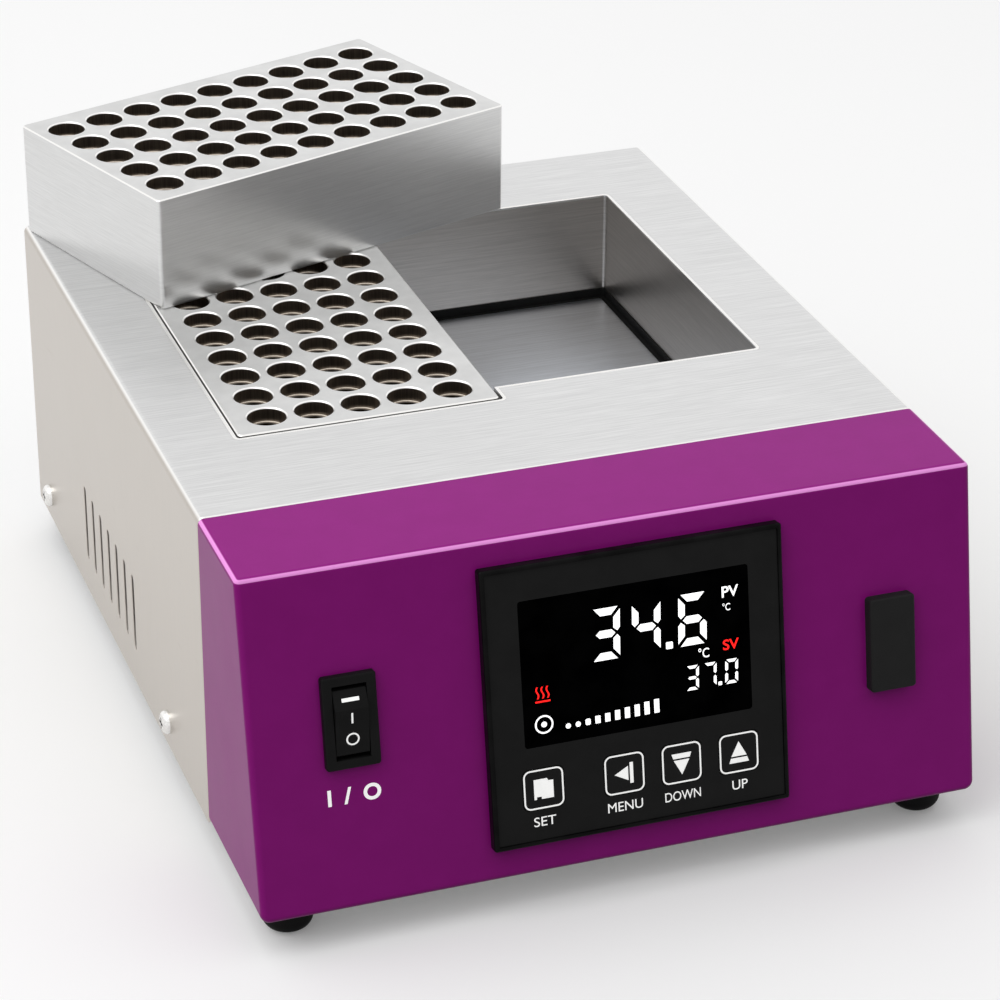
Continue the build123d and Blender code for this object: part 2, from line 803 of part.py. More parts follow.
with BuildPart() as cutout_screws:
    for x, y in cutout_screw_places:
        under_flange = Plane(origin=(x, y, plate_low_z - cutout_flange_gauge), z_dir=(0, 0, -1))
        add(pan_screw(under_flange, small_screw, post_stud_length))
cutout_screws.part.label = "cutout_screws"
export_step(cutout_screws.part, "parts/cutout_screws.step")

# The two tube blocks
seated_top = Plane(
    origin=(
        bay_left + bay_gap + block_width / 2,
        bay_front + bay_front_gap + block_length / 2,
        top_z,
    )
)
with BuildPart() as tube_block_seated:
    add(tube_block(seated_top))
tube_block_seated.part.label = "tube_block_seated"
export_step(tube_block_seated.part, "parts/tube_block_seated.step")

along_x = cos(turn)
along_y = sin(turn)
lifted_corner_x = bay_left + lifted_from_left
lifted_corner_y = front_y + lifted_setback
lifted_top = Plane(
    origin=(
        lifted_corner_x + along_x * block_length / 2 - along_y * block_width / 2,
        lifted_corner_y + along_y * block_length / 2 + along_x * block_width / 2,
        top_z + block_height,
    ),
    x_dir=(-along_y, along_x, 0),
    z_dir=(0, 0, 1),
)
with BuildPart() as tube_block_lifted:
    add(tube_block(lifted_top))
tube_block_lifted.part.label = "tube_block_lifted"
export_step(tube_block_lifted.part, "parts/tube_block_lifted.step")

# Controller frame: the raised rim round the controller, with a ledge for the face plate
controller = on_face(controller_x, controller_rise)
with BuildPart() as controller_frame:
    with BuildSketch(controller):
        RectangleRounded(controller_width, controller_height, controller_round)
    extrude(amount=controller_proud)
    frame_front = controller_frame.faces().sort_by(Axis(controller.origin, controller.z_dir))[-1]
    fillet(frame_front.edges(), controller_round)
    with BuildSketch(controller.offset(controller_ledge)):
        Rectangle(controller_width - 2 * controller_rim, controller_height - 2 * controller_rim)
    extrude(amount=controller_proud, mode=Mode.SUBTRACT)
    with BuildSketch(controller.offset(-1)):
        with Locations((0, case_lift)):
            Rectangle(case_width + 2 * running_gap, case_height + 2 * running_gap)
    extrude(amount=controller_proud, mode=Mode.SUBTRACT)
controller_frame.part.label = "controller_frame"
export_step(controller_frame.part, "parts/controller_frame.step")

# Controller face plate with the openings for the window and the keys
face_width = controller_width - 2 * controller_rim - 0.2
face_height = controller_height - 2 * controller_rim - 0.2
key_row_left = key_from_left - controller_width / 2
key_row_span = controller_width - key_from_left - key_from_right
key_y = key_from_bottom - controller_height / 2
key_centres = {name: (key_row_left + share * key_row_span, key_y) for name, share in key_row_shares.items()}
with BuildPart() as controller_face:
    with BuildSketch(controller.offset(controller_ledge)):
        Rectangle(face_width, face_height)
        with Locations((window_x, window_rise)):
            RectangleRounded(
                window_width + 2 * running_gap, window_height + 2 * running_gap, 1, mode=Mode.SUBTRACT
            )
        with Locations(*key_centres.values()):
            RectangleRounded(
                key_size + 2 * key_gap, key_size + 2 * key_gap, key_round + key_gap, mode=Mode.SUBTRACT
            )
    extrude(amount=face_plate_gauge)
controller_face.part.label = "controller_face"
export_step(controller_face.part, "parts/controller_face.step")

# Display window, flush in the face plate
with BuildPart() as display_window:
    with BuildSketch(controller.offset(controller_ledge)):
        with Locations((window_x, window_rise)):
            RectangleRounded(window_width, window_height, 1)
    extrude(amount=face_plate_gauge)
display_window.part.label = "display_window"
export_step(display_window.part, "parts/display_window.step")

# Controller case behind the panel, open at the front
case_back = controller.offset(-case_depth)
with BuildPart() as controller_case:
    with BuildSketch(case_back):
        with Locations((0, case_lift)):
            RectangleRounded(case_width, case_height, controller_round)
    extrude(amount=case_depth + controller_ledge)
    with BuildSketch(case_back.offset(case_wall)):
        with Locations((0, case_lift)):
            Rectangle(case_width - 2 * case_wall, case_height - 2 * case_wall)
    extrude(amount=case_depth + controller_ledge, mode=Mode.SUBTRACT)
controller_case.part.label = "controller_case"
export_step(controller_case.part, "parts/controller_case.step")

# Display board with the display block and the four key switches
board_width = case_width - 2 * case_wall - 0.6
board_height = case_height - 2 * case_wall - 0.6
board_top = controller.offset(-display_board_drop)
tact_size = 6.0
tact_height = (
    display_board_drop
    + controller_ledge
    + face_plate_gauge
    + key_proud
    - key_cap_height
    - key_flange
    - key_travel
    - key_stem_slack
    - 1.0
)
with BuildPart() as display_board:
    with BuildSketch(board_top):
        with Locations((0, case_lift)):
            Rectangle(board_width, board_height)
    extrude(amount=-board_gauge)
    with BuildSketch(board_top):
        with Locations((window_x, window_rise)):
            Rectangle(window_width - 2 * display_block_inset, window_height - 2 * display_block_inset)
    extrude(amount=display_board_drop + controller_ledge - sheet_slip)
    with BuildSketch(board_top):
        with Locations(*key_centres.values()):
            Rectangle(tact_size, tact_size)
    extrude(amount=tact_height)
display_board.part.label = "display_board"
export_step(display_board.part, "parts/display_board.step")

# Power board with its transformer, relay and capacitor
power_top = controller.offset(-power_board_drop)
board_part_x = board_width / 2 - board_part_inset
board_part_y = board_height / 2 - board_part_inset
with BuildPart() as power_board:
    with BuildSketch(power_top):
        with Locations((0, case_lift)):
            Rectangle(board_width, board_height)
    extrude(amount=-board_gauge)
    with BuildSketch(power_top):
        with Locations((transformer_width / 2 - board_part_x, case_lift + board_part_y)):
            Rectangle(transformer_width, transformer_length, align=(Align.CENTER, Align.MAX))
    extrude(amount=transformer_height)
    with BuildSketch(power_top):
        with Locations((board_part_x, case_lift + board_part_y)):
            Rectangle(board_relay_width, board_relay_length, align=(Align.MAX, Align.MAX))
    extrude(amount=board_relay_height)
    with BuildSketch(power_top):
        with Locations((board_part_x - capacitor_radius, case_lift + capacitor_radius - board_part_y)):
            Circle(capacitor_radius)
    extrude(amount=capacitor_height)
power_board.part.label = "power_board"
export_step(power_board.part, "parts/power_board.step")

# Controller terminals on the back of the case
with BuildPart() as controller_terminals:
    with BuildSketch(case_back):
        Rectangle(terminal_width, terminal_height)
    extrude(amount=-terminal_depth)
    with BuildSketch(case_back.offset(-terminal_depth)):
        with GridLocations(terminal_width / terminal_ways, 0, terminal_ways, 1):
            Rectangle(terminal_width / terminal_ways - terminal_barrier, terminal_height - 2 * terminal_lip)
    extrude(amount=terminal_recess, mode=Mode.SUBTRACT)
controller_terminals.part.label = "controller_terminals"
export_step(controller_terminals.part, "parts/controller_terminals.step")

# Controller clamps: a bracket and a jack screw at each side of the case
clamp_start = bezel_wall + clamp_screw_reach
with BuildPart() as controller_clamps:
    for side in (-1, 1):
        clamp_x = side * (case_width / 2 + clamp_width / 2 + running_gap)
        with BuildSketch(controller.offset(-clamp_start)):
            with Locations((clamp_x, case_lift)):
                Rectangle(clamp_width, clamp_height)
        extrude(amount=-clamp_length)
        with BuildSketch(controller.offset(-bezel_wall)):
            with Locations((clamp_x, case_lift)):
                Circle(clamp_screw_radius)
        extrude(amount=-clamp_start - clamp_length)
controller_clamps.part.label = "controller_clamps"
export_step(controller_clamps.part, "parts/controller_clamps.step")

# The four keys: a cap, a flange that keeps it in the face plate and a stem over its switch
key_top = controller.offset(controller_ledge + face_plate_gauge + key_proud)
for key_name, centre in key_centres.items():
    with BuildPart() as key:
        with BuildSketch(key_top):
            with Locations(centre):
                RectangleRounded(key_size, key_size, key_round)
        extrude(amount=-key_cap_height)
        with BuildSketch(key_top.offset(-key_cap_height)):
            with Locations(centre):
                RectangleRounded(key_size + 1.6, key_size + 1.6, key_round)
        extrude(amount=-key_flange)
        with BuildSketch(key_top.offset(-key_cap_height - key_flange)):
            with Locations(centre):
                Circle(key_stem_radius)
        extrude(amount=-1.0)
    key.part.label = "key_" + key_name
    export_step(key.part, "parts/key_" + key_name + ".step")

# Switch body: frame, hollow body and the bearing holes of the rocker
switch = on_face(switch_x, switch_rise)
pivot = switch.offset(-rocker_pivot_depth)
end_radius = (rocker_half_length**2 + rocker_end_height**2) ** 0.5
well_half_length = end_radius + rocker_end_gap
with BuildPart() as switch_body:
    with BuildSketch(switch):
        RectangleRounded(switch_width, switch_height, 1)
    extrude(amount=switch_proud)
    fillet(switch_body.faces().sort_by(Axis(switch.origin, switch.z_dir))[-1].edges(), 0.8)
    with BuildSketch(switch):
        Rectangle(switch_body_width, switch_body_height)
    extrude(amount=-switch_body_depth)
    with BuildSketch(switch.offset(switch_proud + 1)):
        Rectangle(rocker_width + 2 * rocker_side_gap, 2 * well_half_length)
    extrude(amount=-switch_proud - rocker_pivot_depth - end_radius + 1, mode=Mode.SUBTRACT)
    with BuildSketch(Plane(origin=pivot.origin, x_dir=face.y_dir, z_dir=face.x_dir)):
        Circle(trunnion_radius + running_gap)
    extrude(amount=switch_body_width, both=True, mode=Mode.SUBTRACT)
switch_body.part.label = "switch_body"
export_step(switch_body.part, "parts/switch_body.step")

# Rocker: ridged cap and two trunnions, resting with its lower end pressed
rest_tilt = radians(rocker_rest_tilt)
rocker_up = face.y_dir * cos(rest_tilt) + face.z_dir * sin(rest_tilt)
rocker_plane = Plane(origin=pivot.origin, x_dir=rocker_up, z_dir=face.x_dir)
trunnion_reach = switch_body_width / 2 - 0.3
with BuildPart() as switch_rocker:
    with BuildSketch(rocker_plane.offset(-rocker_width / 2)) as rocker_side:
        with BuildLine():
            Polyline(
                (-rocker_half_length, rocker_end_height),
                (rocker_chin - rocker_half_length, rocker_face_height),
                (rocker_ridge, rocker_face_height),
                (rocker_half_length, rocker_end_height),
                (rocker_half_length - rocker_taper, -rocker_skirt),
                (rocker_keel_half, -rocker_keel),
                (-rocker_keel_half, -rocker_keel),
                (rocker_taper - rocker_half_length, -rocker_skirt),
                close=True,
            )
        make_face()
        fillet(rocker_side.vertices().group_by(Axis.Y)[-1], 0.5)
    extrude(amount=rocker_width)
    with BuildSketch(rocker_plane):
        Circle(trunnion_radius)
    extrude(amount=trunnion_reach, both=True)
switch_rocker.part.label = "switch_rocker"
export_step(switch_rocker.part, "parts/switch_rocker.step")

# Blade tabs on the back of the switch
with BuildPart() as switch_tabs:
    with BuildSketch(switch.offset(-switch_body_depth)):
        with GridLocations(7, 10, 2, 2):
            Rectangle(blade_gauge, blade_width)
    extrude(amount=-switch_blade_length)
switch_tabs.part.label = "switch_tabs"
export_step(switch_tabs.part, "parts/switch_tabs.step")

# Blank plug: cover plate, neck through the panel and two snap legs
blank = on_face(blank_x, blank_rise)
with BuildPart() as blank_plug:
    with BuildSketch(blank):
        RectangleRounded(blank_width, blank_height, 1.2)
    extrude(amount=blank_proud)
    fillet(blank_plug.faces().sort_by(Axis(blank.origin, blank.z_dir))[-1].edges(), 0.8)
    with BuildSketch(blank):
        Rectangle(blank_neck_width, blank_neck_height)
        Rectangle(
            blank_neck_width - 2 * blank_wall, blank_neck_height - 2 * blank_wall, mode=Mode.SUBTRACT
        )
    extrude(amount=-bezel_wall - blank_neck_reach)
    with BuildSketch(blank.offset(-bezel_wall - running_gap)):
        Rectangle(blank_neck_width - 2 * blank_wall, blank_neck_height + 2 * snap_proud)
        Rectangle(blank_neck_width, blank_neck_height - 2 * blank_wall, mode=Mode.SUBTRACT)
    extrude(amount=-snap_height)
blank_plug.part.label = "blank_plug"
export_step(blank_plug.part, "parts/blank_plug.step")

# Feet: domed rubber, each with a blind hole for its screw
for foot_name, place in foot_places.items():
    with BuildPart(Plane(origin=(*place, 0))) as foot:
        Cylinder(foot_radius, foot_height, align=STANDING)
        fillet(foot.edges().filter_by(GeomType.CIRCLE).sort_by(Axis.Z)[0], foot_dome)
        with Locations((0, 0, foot_height)):
            Cylinder(
                large_screw / 2 + running_gap, foot_hole_depth + 0.3, align=HANGING, mode=Mode.SUBTRACT
            )
    foot.part.label = "foot_" + foot_name
    export_step(foot.part, "parts/foot_" + foot_name + ".step")

# Foot screws, from inside the tray down into the rubber
with BuildPart() as foot_screws:
    for place in foot_places.values():
        add(pan_screw(Plane(origin=(*place, floor_z)), large_screw, steel_gauge + foot_hole_depth))
foot_screws.part.label = "foot_screws"
export_step(foot_screws.part, "parts/foot_screws.step")

# Side screws: two on each side, through the cover into the tray's flanges
with BuildPart() as side_screws:
    for side in (-1, 1):
        for y, z in side_screw_places:
            seat = Plane(origin=(side * half_width, y, z), x_dir=(0, 1, 0), z_dir=(side, 0, 0))
            add(pan_screw(seat, large_screw, 2 * steel_gauge + sheet_slip + 3))
side_screws.part.label = "side_screws"
export_step(side_screws.part, "parts/side_screws.step")

# Rear panel screws
with BuildPart() as rear_panel_screws:
    for x, z in rear_screw_places:
        add(pan_screw(facing_back(back_y, x, z), small_screw, 2 * steel_gauge + 3))
rear_panel_screws.part.label = "rear_panel_screws"
export_step(rear_panel_screws.part, "parts/rear_panel_screws.step")

# Bezel screws, from under the tray into the bezel's ledge
with BuildPart() as bezel_screws:
    for x, y in bezel_screw_places:
        add(pan_screw(Plane(origin=(x, y, base_z), z_dir=(0, 0, -1)), small_screw, 6))
bezel_screws.part.label = "bezel_screws"
export_step(bezel_screws.part, "parts/bezel_screws.step")

# Mains inlet: flange, body, connector socket and fuse drawer slot
inlet = facing_back(back_y, inlet_x, inlet_z)
pin_places = [(0, socket_rise + 3.6), (-7, socket_rise - 1.6), (7, socket_rise - 1.6)]
with BuildPart() as mains_inlet:
    with BuildSketch(inlet):
        RectangleRounded(inlet_flange_width, inlet_flange_height, 4)
        with GridLocations(inlet_screw_spacing, 0, 2, 1):
            Circle(screw_hole(small_screw), mode=Mode.SUBTRACT)
    extrude(amount=inlet_flange_gauge)
    with BuildSketch(inlet):
        Rectangle(inlet_body_width, inlet_body_height)
    extrude(amount=-inlet_body_depth)
    with BuildSketch(inlet.offset(inlet_flange_gauge)) as socket_mouth:
        with Locations((0, socket_rise)):
            Rectangle(socket_width, socket_height)
        chamfer(socket_mouth.vertices().group_by(Axis.Y)[-1], socket_corner)
    extrude(amount=-socket_depth, mode=Mode.SUBTRACT)
    with BuildSketch(inlet.offset(inlet_flange_gauge)):
        with Locations((0, -drawer_drop)):
            Rectangle(drawer_width + 2 * drawer_gap, drawer_height + 2 * drawer_gap)
    extrude(amount=-drawer_depth - drawer_gap, mode=Mode.SUBTRACT)
    with BuildSketch(inlet.offset(-inlet_body_depth)):
        with Locations(*pin_places):
            Rectangle(pin_width + 2 * running_gap, pin_height + 2 * running_gap)
    extrude(amount=inlet_body_depth, mode=Mode.SUBTRACT)
mains_inlet.part.label = "mains_inlet"
export_step(mains_inlet.part, "parts/mains_inlet.step")

# Inlet pins, each running through the body to a soldering tail
pin_tip = inlet_flange_gauge - socket_depth + pin_length
with BuildPart() as inlet_pins:
    with BuildSketch(inlet.offset(pin_tip)):
        with Locations(*pin_places):
            Rectangle(pin_width, pin_height)
    extrude(amount=-pin_tip - inlet_body_depth - pin_tail)
inlet_pins.part.label = "inlet_pins"
export_step(inlet_pins.part, "parts/inlet_pins.step")

with BuildPart() as inlet_screws:
    for side in (-1, 1):
        seat = facing_back(back_y + inlet_flange_gauge, inlet_x + side * inlet_screw_spacing / 2, inlet_z)
        add(pan_screw(seat, small_screw, inlet_flange_gauge + steel_gauge + 3))
inlet_screws.part.label = "inlet_screws"
export_step(inlet_screws.part, "parts/inlet_screws.step")

# Fuse drawer with a cradle for one fuse, and the fuse in it
drawer_face = inlet.offset(inlet_flange_gauge)
fuse_setback = 10.0
fuse_cap = 5.5
fuse_plane = Plane(
    origin=drawer_face.from_local_coords(Vector(0, -drawer_drop, -fuse_setback)),
    x_dir=(0, 0, 1),
    z_dir=(1, 0, 0),
)
with BuildPart() as fuse_drawer:
    with BuildSketch(drawer_face):
        with Locations((0, -drawer_drop)):
            Rectangle(drawer_width, drawer_height)
    extrude(amount=-drawer_depth)
    with BuildSketch(drawer_face):
        with Locations((0, drawer_height / 2 - drawer_drop)):
            Rectangle(drawer_width / 3, 1.6, align=(Align.CENTER, Align.MAX))
    extrude(amount=1)
    with BuildSketch(fuse_plane):
        Circle(fuse_radius + running_gap)
        Rectangle(drawer_height, 2 * (fuse_radius + running_gap), align=(Align.MIN, Align.CENTER))
    extrude(amount=fuse_length / 2 + sheet_slip, both=True, mode=Mode.SUBTRACT)
fuse_drawer.part.label = "fuse_drawer"
export_step(fuse_drawer.part, "parts/fuse_drawer.step")

with BuildPart() as fuse:
    for side in (-1, 1):
        with BuildSketch(fuse_plane.offset(side * fuse_length / 2)):
            Circle(fuse_radius)
        extrude(amount=-side * fuse_cap)
    with BuildSketch(fuse_plane):
        Circle(fuse_radius - 0.2)
    extrude(amount=fuse_length / 2 - fuse_cap, both=True)
fuse.part.label = "fuse"
export_step(fuse.part, "parts/fuse.step")

# Earth stud and its nut
with BuildPart() as earth_stud:
    with Locations((earth_x, earth_y, base_z)):
        Cylinder(earth_stud_radius, steel_gauge + earth_stud_height, align=STANDING)
        Cylinder(1.7 * earth_stud_radius, 2, align=HANGING)
earth_stud.part.label = "earth_stud"
export_step(earth_stud.part, "parts/earth_stud.step")

with BuildPart() as earth_nut:
    with BuildSketch(Plane.XY.offset(floor_z)):
        with Locations((earth_x, earth_y)):
            RegularPolygon(4.6, 6)
            Circle(earth_stud_radius + running_gap, mode=Mode.SUBTRACT)
    extrude(amount=earth_nut_height)
earth_nut.part.label = "earth_nut"
export_step(earth_nut.part, "parts/earth_nut.step")

# Solid state relay: block with four terminals and a cut-away shoulder for each screw
relay_terminal_span_x = relay_width - 2 * relay_terminal_inset_x
relay_terminal_span_y = relay_length - 2 * relay_terminal_inset_y
with BuildPart() as solid_state_relay:
    with BuildSketch(Plane.XY.offset(floor_z)):
        with Locations((relay_x, relay_y)):
            RectangleRounded(relay_width, relay_length, 3)
        with Locations(*relay_screw_places):
            Circle(screw_hole(large_screw), mode=Mode.SUBTRACT)
    extrude(amount=relay_height)
    with BuildSketch(Plane.XY.offset(floor_z + relay_height)):
        with Locations(*relay_screw_places):
            Rectangle(12, 11)
    extrude(amount=relay_shoulder - relay_height, mode=Mode.SUBTRACT)
    with BuildSketch(Plane.XY.offset(floor_z + relay_height)):
        with Locations((relay_x, relay_y)):
            with GridLocations(relay_terminal_span_x, relay_terminal_span_y, 2, 2):
                Circle(relay_terminal_radius)
    extrude(amount=relay_terminal_height)
solid_state_relay.part.label = "solid_state_relay"
export_step(solid_state_relay.part, "parts/solid_state_relay.step")

relay_screw_length = relay_shoulder + steel_gauge + 1.5
with BuildPart() as relay_screws:
    for x, y in relay_screw_places:
        add(pan_screw(Plane(origin=(x, y, floor_z + relay_shoulder)), large_screw, relay_screw_length))
relay_screws.part.label = "relay_screws"
export_step(relay_screws.part, "parts/relay_screws.step")

# Terminal strip: barrier block with its wells between the barriers
with BuildPart() as terminal_strip:
    with BuildSketch(Plane.XY.offset(floor_z)):
        with Locations((strip_x, strip_y)):
            Rectangle(strip_width, strip_length)
        with Locations(*strip_screw_places):
            Circle(screw_hole(small_screw), mode=Mode.SUBTRACT)
    extrude(amount=strip_base)
    way_pitch = (strip_length - 2 * strip_end) / strip_ways
    with BuildSketch(Plane.XY.offset(floor_z + strip_base)):
        with Locations((strip_x, strip_y)):
            with GridLocations(0, way_pitch, 1, strip_ways + 1):
                Rectangle(strip_width, strip_barrier)
            Rectangle(strip_spine, strip_ways * way_pitch)
    extrude(amount=strip_height - strip_base)
terminal_strip.part.label = "terminal_strip"
export_step(terminal_strip.part, "parts/terminal_strip.step")

with BuildPart() as strip_screws:
    for x, y in strip_screw_places:
        add(pan_screw(Plane(origin=(x, y, floor_z + strip_base)), small_screw, strip_base + steel_gauge + 1))
strip_screws.part.label = "strip_screws"
export_step(strip_screws.part, "parts/strip_screws.step")

# Leads: mains from the inlet to the switch, the heater's and the probe's
lead_slack = 0.3
tail_y = back_y - inlet_body_depth - pin_tail - lead_slack
tab_end = face.from_local_coords(
    Vector(
        switch_x,
        face_length / 2 + switch_rise,
        -switch_body_depth - switch_blade_length - lead_slack,
    )
)
with BuildPart() as mains_wiring:
    add(
        lead(
            [
                (inlet_x, tail_y, inlet_z + socket_rise - 1.6),
                (inlet_x, tail_y - 18, inlet_z + 2),
                (inlet_x + 6, tail_y - 42, base_z + 16),
                (inlet_x + 9, plate_y + 10, base_z + 9),
                (inlet_x + 4, plate_y - 36, base_z + 8),
                (inlet_x - 6, plate_front - 2, base_z + 9),
                (inlet_x - 32, plate_front - 12, base_z + 8),
                (0, plate_front - 9, base_z + 8),
                (switch_x + 42, plate_front - 14, base_z + 10),
                (switch_x + 14, plate_front - 24, base_z + 24),
                (switch_x + 2, tab_end.Y + 24, base_z + 46),
                (switch_x + 3.5, tab_end.Y, tab_end.Z),
            ],
            mains_lead_radius,
        )
    )
mains_wiring.part.label = "mains_wiring"
export_step(mains_wiring.part, "parts/mains_wiring.step")

relay_terminal_x = relay_x + relay_terminal_span_x / 2
relay_terminal_y = relay_y + relay_terminal_span_y / 2
relay_top_z = floor_z + relay_height + relay_terminal_height
with BuildPart() as heater_wiring:
    add(
        lead(
            [
                (mat_tab_x, plate_front - mat_tab_reach - lead_slack, mat_low_z + mat_thickness / 2),
                (mat_tab_x, plate_front - mat_tab_reach - 7, mat_low_z + mat_thickness / 2),
                (relay_terminal_x, relay_terminal_y, relay_top_z + 12),
                (relay_terminal_x, relay_terminal_y, relay_top_z + lead_slack),
            ],
            probe_lead_radius,
        )
    )
heater_wiring.part.label = "heater_wiring"
export_step(heater_wiring.part, "parts/heater_wiring.step")

terminal_face = controller.offset(-case_depth - terminal_depth - lead_slack)
terminal_end = terminal_face.from_local_coords(Vector(26, 0, 0))
terminal_turn = terminal_face.from_local_coords(Vector(26, 0, -9))
with BuildPart() as probe_lead:
    add(
        lead(
            [
                (probe_x, plate_front - probe_sleeve_length - lead_slack, plate_z - plate_thickness / 2),
                (probe_x, plate_front - probe_sleeve_length - 9, plate_z - plate_thickness / 2 - 2),
                terminal_turn,
                terminal_end,
            ],
            probe_lead_radius,
        )
    )
probe_lead.part.label = "probe_lead"
export_step(probe_lead.part, "parts/probe_lead.step")
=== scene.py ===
"""Looks of a dry bath incubator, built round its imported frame.

The frame's nodes keep their shapes and get their finishes here. The display's lit marks, the
printed legends and the key glyphs are modelled here and ride on the bodies that carry them.
Every object is in metres, with X to the right, Y to the back and Z up.
"""

import logging
from collections.abc import Callable, Iterator, Mapping, Sequence
from contextlib import contextmanager
from dataclasses import dataclass, field
from enum import Enum
from functools import lru_cache
from math import cos, pi, radians, sin

import bmesh
import bpy
from mathutils import Matrix, Vector


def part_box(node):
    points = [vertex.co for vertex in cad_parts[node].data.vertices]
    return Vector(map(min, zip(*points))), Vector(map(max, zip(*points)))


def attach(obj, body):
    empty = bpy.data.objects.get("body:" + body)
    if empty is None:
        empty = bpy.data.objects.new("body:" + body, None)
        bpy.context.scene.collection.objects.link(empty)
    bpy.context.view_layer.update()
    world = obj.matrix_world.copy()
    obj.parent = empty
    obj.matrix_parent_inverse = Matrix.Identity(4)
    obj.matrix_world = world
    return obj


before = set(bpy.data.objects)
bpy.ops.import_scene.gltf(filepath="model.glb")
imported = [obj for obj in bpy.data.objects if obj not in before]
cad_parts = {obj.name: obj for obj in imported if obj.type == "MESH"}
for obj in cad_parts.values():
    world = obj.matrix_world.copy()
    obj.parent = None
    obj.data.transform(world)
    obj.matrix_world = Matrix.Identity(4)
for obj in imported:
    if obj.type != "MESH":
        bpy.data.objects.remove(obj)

MM = 0.001
Colour = tuple[float, float, float]
log = logging.getLogger("incubator")


class Wire:
    """A value in a node tree, which adds Math nodes when it is reckoned with."""

    def __init__(self, board: "Board", socket: bpy.types.NodeSocket) -> None:
        """Keeps the socket and the board that it lies on."""
        self.board = board
        self.socket = socket

    def __add__(self, other: "Value") -> "Wire":
        """Sum of two values."""
        return self.board.math("ADD", self, other)

    def __sub__(self, other: "Value") -> "Wire":
        """This value less another."""
        return self.board.math("SUBTRACT", self, other)

    def __rsub__(self, other: "Value") -> "Wire":
        """Another value less this one."""
        return self.board.math("SUBTRACT", other, self)

    def __mul__(self, other: "Value") -> "Wire":
        """Product of two values."""
        return self.board.math("MULTIPLY", self, other)

    def __truediv__(self, other: "Value") -> "Wire":
        """This value over another."""
        return self.board.math("DIVIDE", self, other)

    def __pow__(self, other: "Value") -> "Wire":
        """This value raised to a power."""
        return self.board.math("POWER", self, other)

    def __abs__(self) -> "Wire":
        """Size of this value without its sign."""
        return self.board.math("ABSOLUTE", self)

    def rising(self, low: float, high: float) -> "Wire":
        """Smooth step from 0 to 1.

        Args:
            low: value at which the step starts.
            high: value at which it ends.

        Returns:
            The step's value, between 0 and 1.
        """
        sockets = {"Value": self, "From Min": low, "From Max": high}
        return self.board.wire("ShaderNodeMapRange", {"interpolation_type": "SMOOTHSTEP"}, sockets)

    __radd__ = __add__
    __rmul__ = __mul__


Value = Wire | float


class Board:
    """A node tree with the few ways that this file lays nodes on it."""

    def __init__(self, tree: bpy.types.NodeTree) -> None:
        """Clears the tree and keeps it."""
        self.tree = tree
        tree.nodes.clear()

    def node(
        self,
        kind: str,
        settings: Mapping[str, object] | None = None,
        sockets: Mapping[str | int, object] | None = None,
    ) -> bpy.types.Node:
        """Lays one node.

        Args:
            kind: the node's type name.
            settings: its properties, set before its sockets.
            sockets: plain values or wires for its inputs, by name or number.

        Returns:
            The node.
        """
        made = self.tree.nodes.new(kind)
        for name, value in (settings or {}).items():
            setattr(made, name, value)
        for name, value in (sockets or {}).items():
            if isinstance(value, Wire):
                self.tree.links.new(value.socket, made.inputs[name])
            else:
                made.inputs[name].default_value = value
        return made

    def wire(
        self,
        kind: str,
        settings: Mapping[str, object] | None = None,
        sockets: Mapping[str | int, object] | None = None,
        output: str | int = 0,
    ) -> Wire:
        """Lays one node and gives one of its outputs.

        Args:
            kind: the node's type name.
            settings: its properties.
            sockets: values or wires for its inputs.
            output: name or number of the output.

        Returns:
            The output as a wire.
        """
        return Wire(self, self.node(kind, settings, sockets).outputs[output])

    def math(self, operation: str, *values: Value) -> Wire:
        """Value of a Math node on one or two values."""
        return self.wire("ShaderNodeMath", {"operation": operation}, dict(enumerate(values)))

    def blend(self, share: Value, first: "Wire | Colour", second: "Wire | Colour") -> Wire:
        """Mixes two colours.

        Args:
            share: how much of the second colour there is.
            first: a colour or a wire that carries one.
            second: a colour or a wire that carries one.

        Returns:
            The mixed colour.
        """
        ends = [end if isinstance(end, Wire) else (*end, 1.0) for end in (first, second)]
        return self.wire("ShaderNodeMix", {"data_type": "RGBA"}, {0: share, 6: ends[0], 7: ends[1]}, 2)

    def place(self) -> tuple[Wire, Wire, Wire]:
        """X, Y and Z of a point in the piece's own frame, in metres."""
        spot = self.wire("ShaderNodeTexCoord", output="Object")
        parted = self.node("ShaderNodeSeparateXYZ", None, {0: spot})
        return tuple(Wire(self, parted.outputs[axis]) for axis in range(3))

    def facing(self) -> tuple[Wire, Wire, Wire]:
        """X, Y and Z of the surface's direction in the piece's own frame."""
        away = self.wire("ShaderNodeTexCoord", output="Normal")
        parted = self.node("ShaderNodeSeparateXYZ", None, {0: away})
        return tuple(Wire(self, parted.outputs[axis]) for axis in range(3))

    def glint(self, low: float, high: float) -> Wire:
        """1 on rounded or cut edges whose slope lies between two values of Z, otherwise 0: the mask for painted
        highlights on those edges.
        """
        slope = self.facing()[2]
        return slope.rising(low - 0.1, low) * (1.0 - slope.rising(high, high + 0.1))

    def noise(self, spot: Sequence[Value], detail: float = 2.0, warp: float = 0.0) -> Wire:
        """Noise with features one unit wide.

        Args:
            spot: the point's three coordinates, in units of the feature's size.
            detail: how many finer layers lie on it.
            warp: how far it is distorted.

        Returns:
            The noise, between 0 and 1 about 0.5.
        """
        vector = self.wire("ShaderNodeCombineXYZ", None, dict(enumerate(spot)))
        sockets = {"Vector": vector, "Scale": 1.0, "Detail": detail, "Distortion": warp}
        return self.wire("ShaderNodeTexNoise", None, sockets)

    def bump(self, height: Wire, depth: float, strength: float = 1.0) -> Wire:
        """Normal of a surface with small relief.

        Args:
            height: the relief, from 0 to 1.
            depth: its depth in metres.
            strength: how much of it is used.

        Returns:
            The normal.
        """
        return self.wire("ShaderNodeBump", None, {"Strength": strength, "Distance": depth, "Height": height})


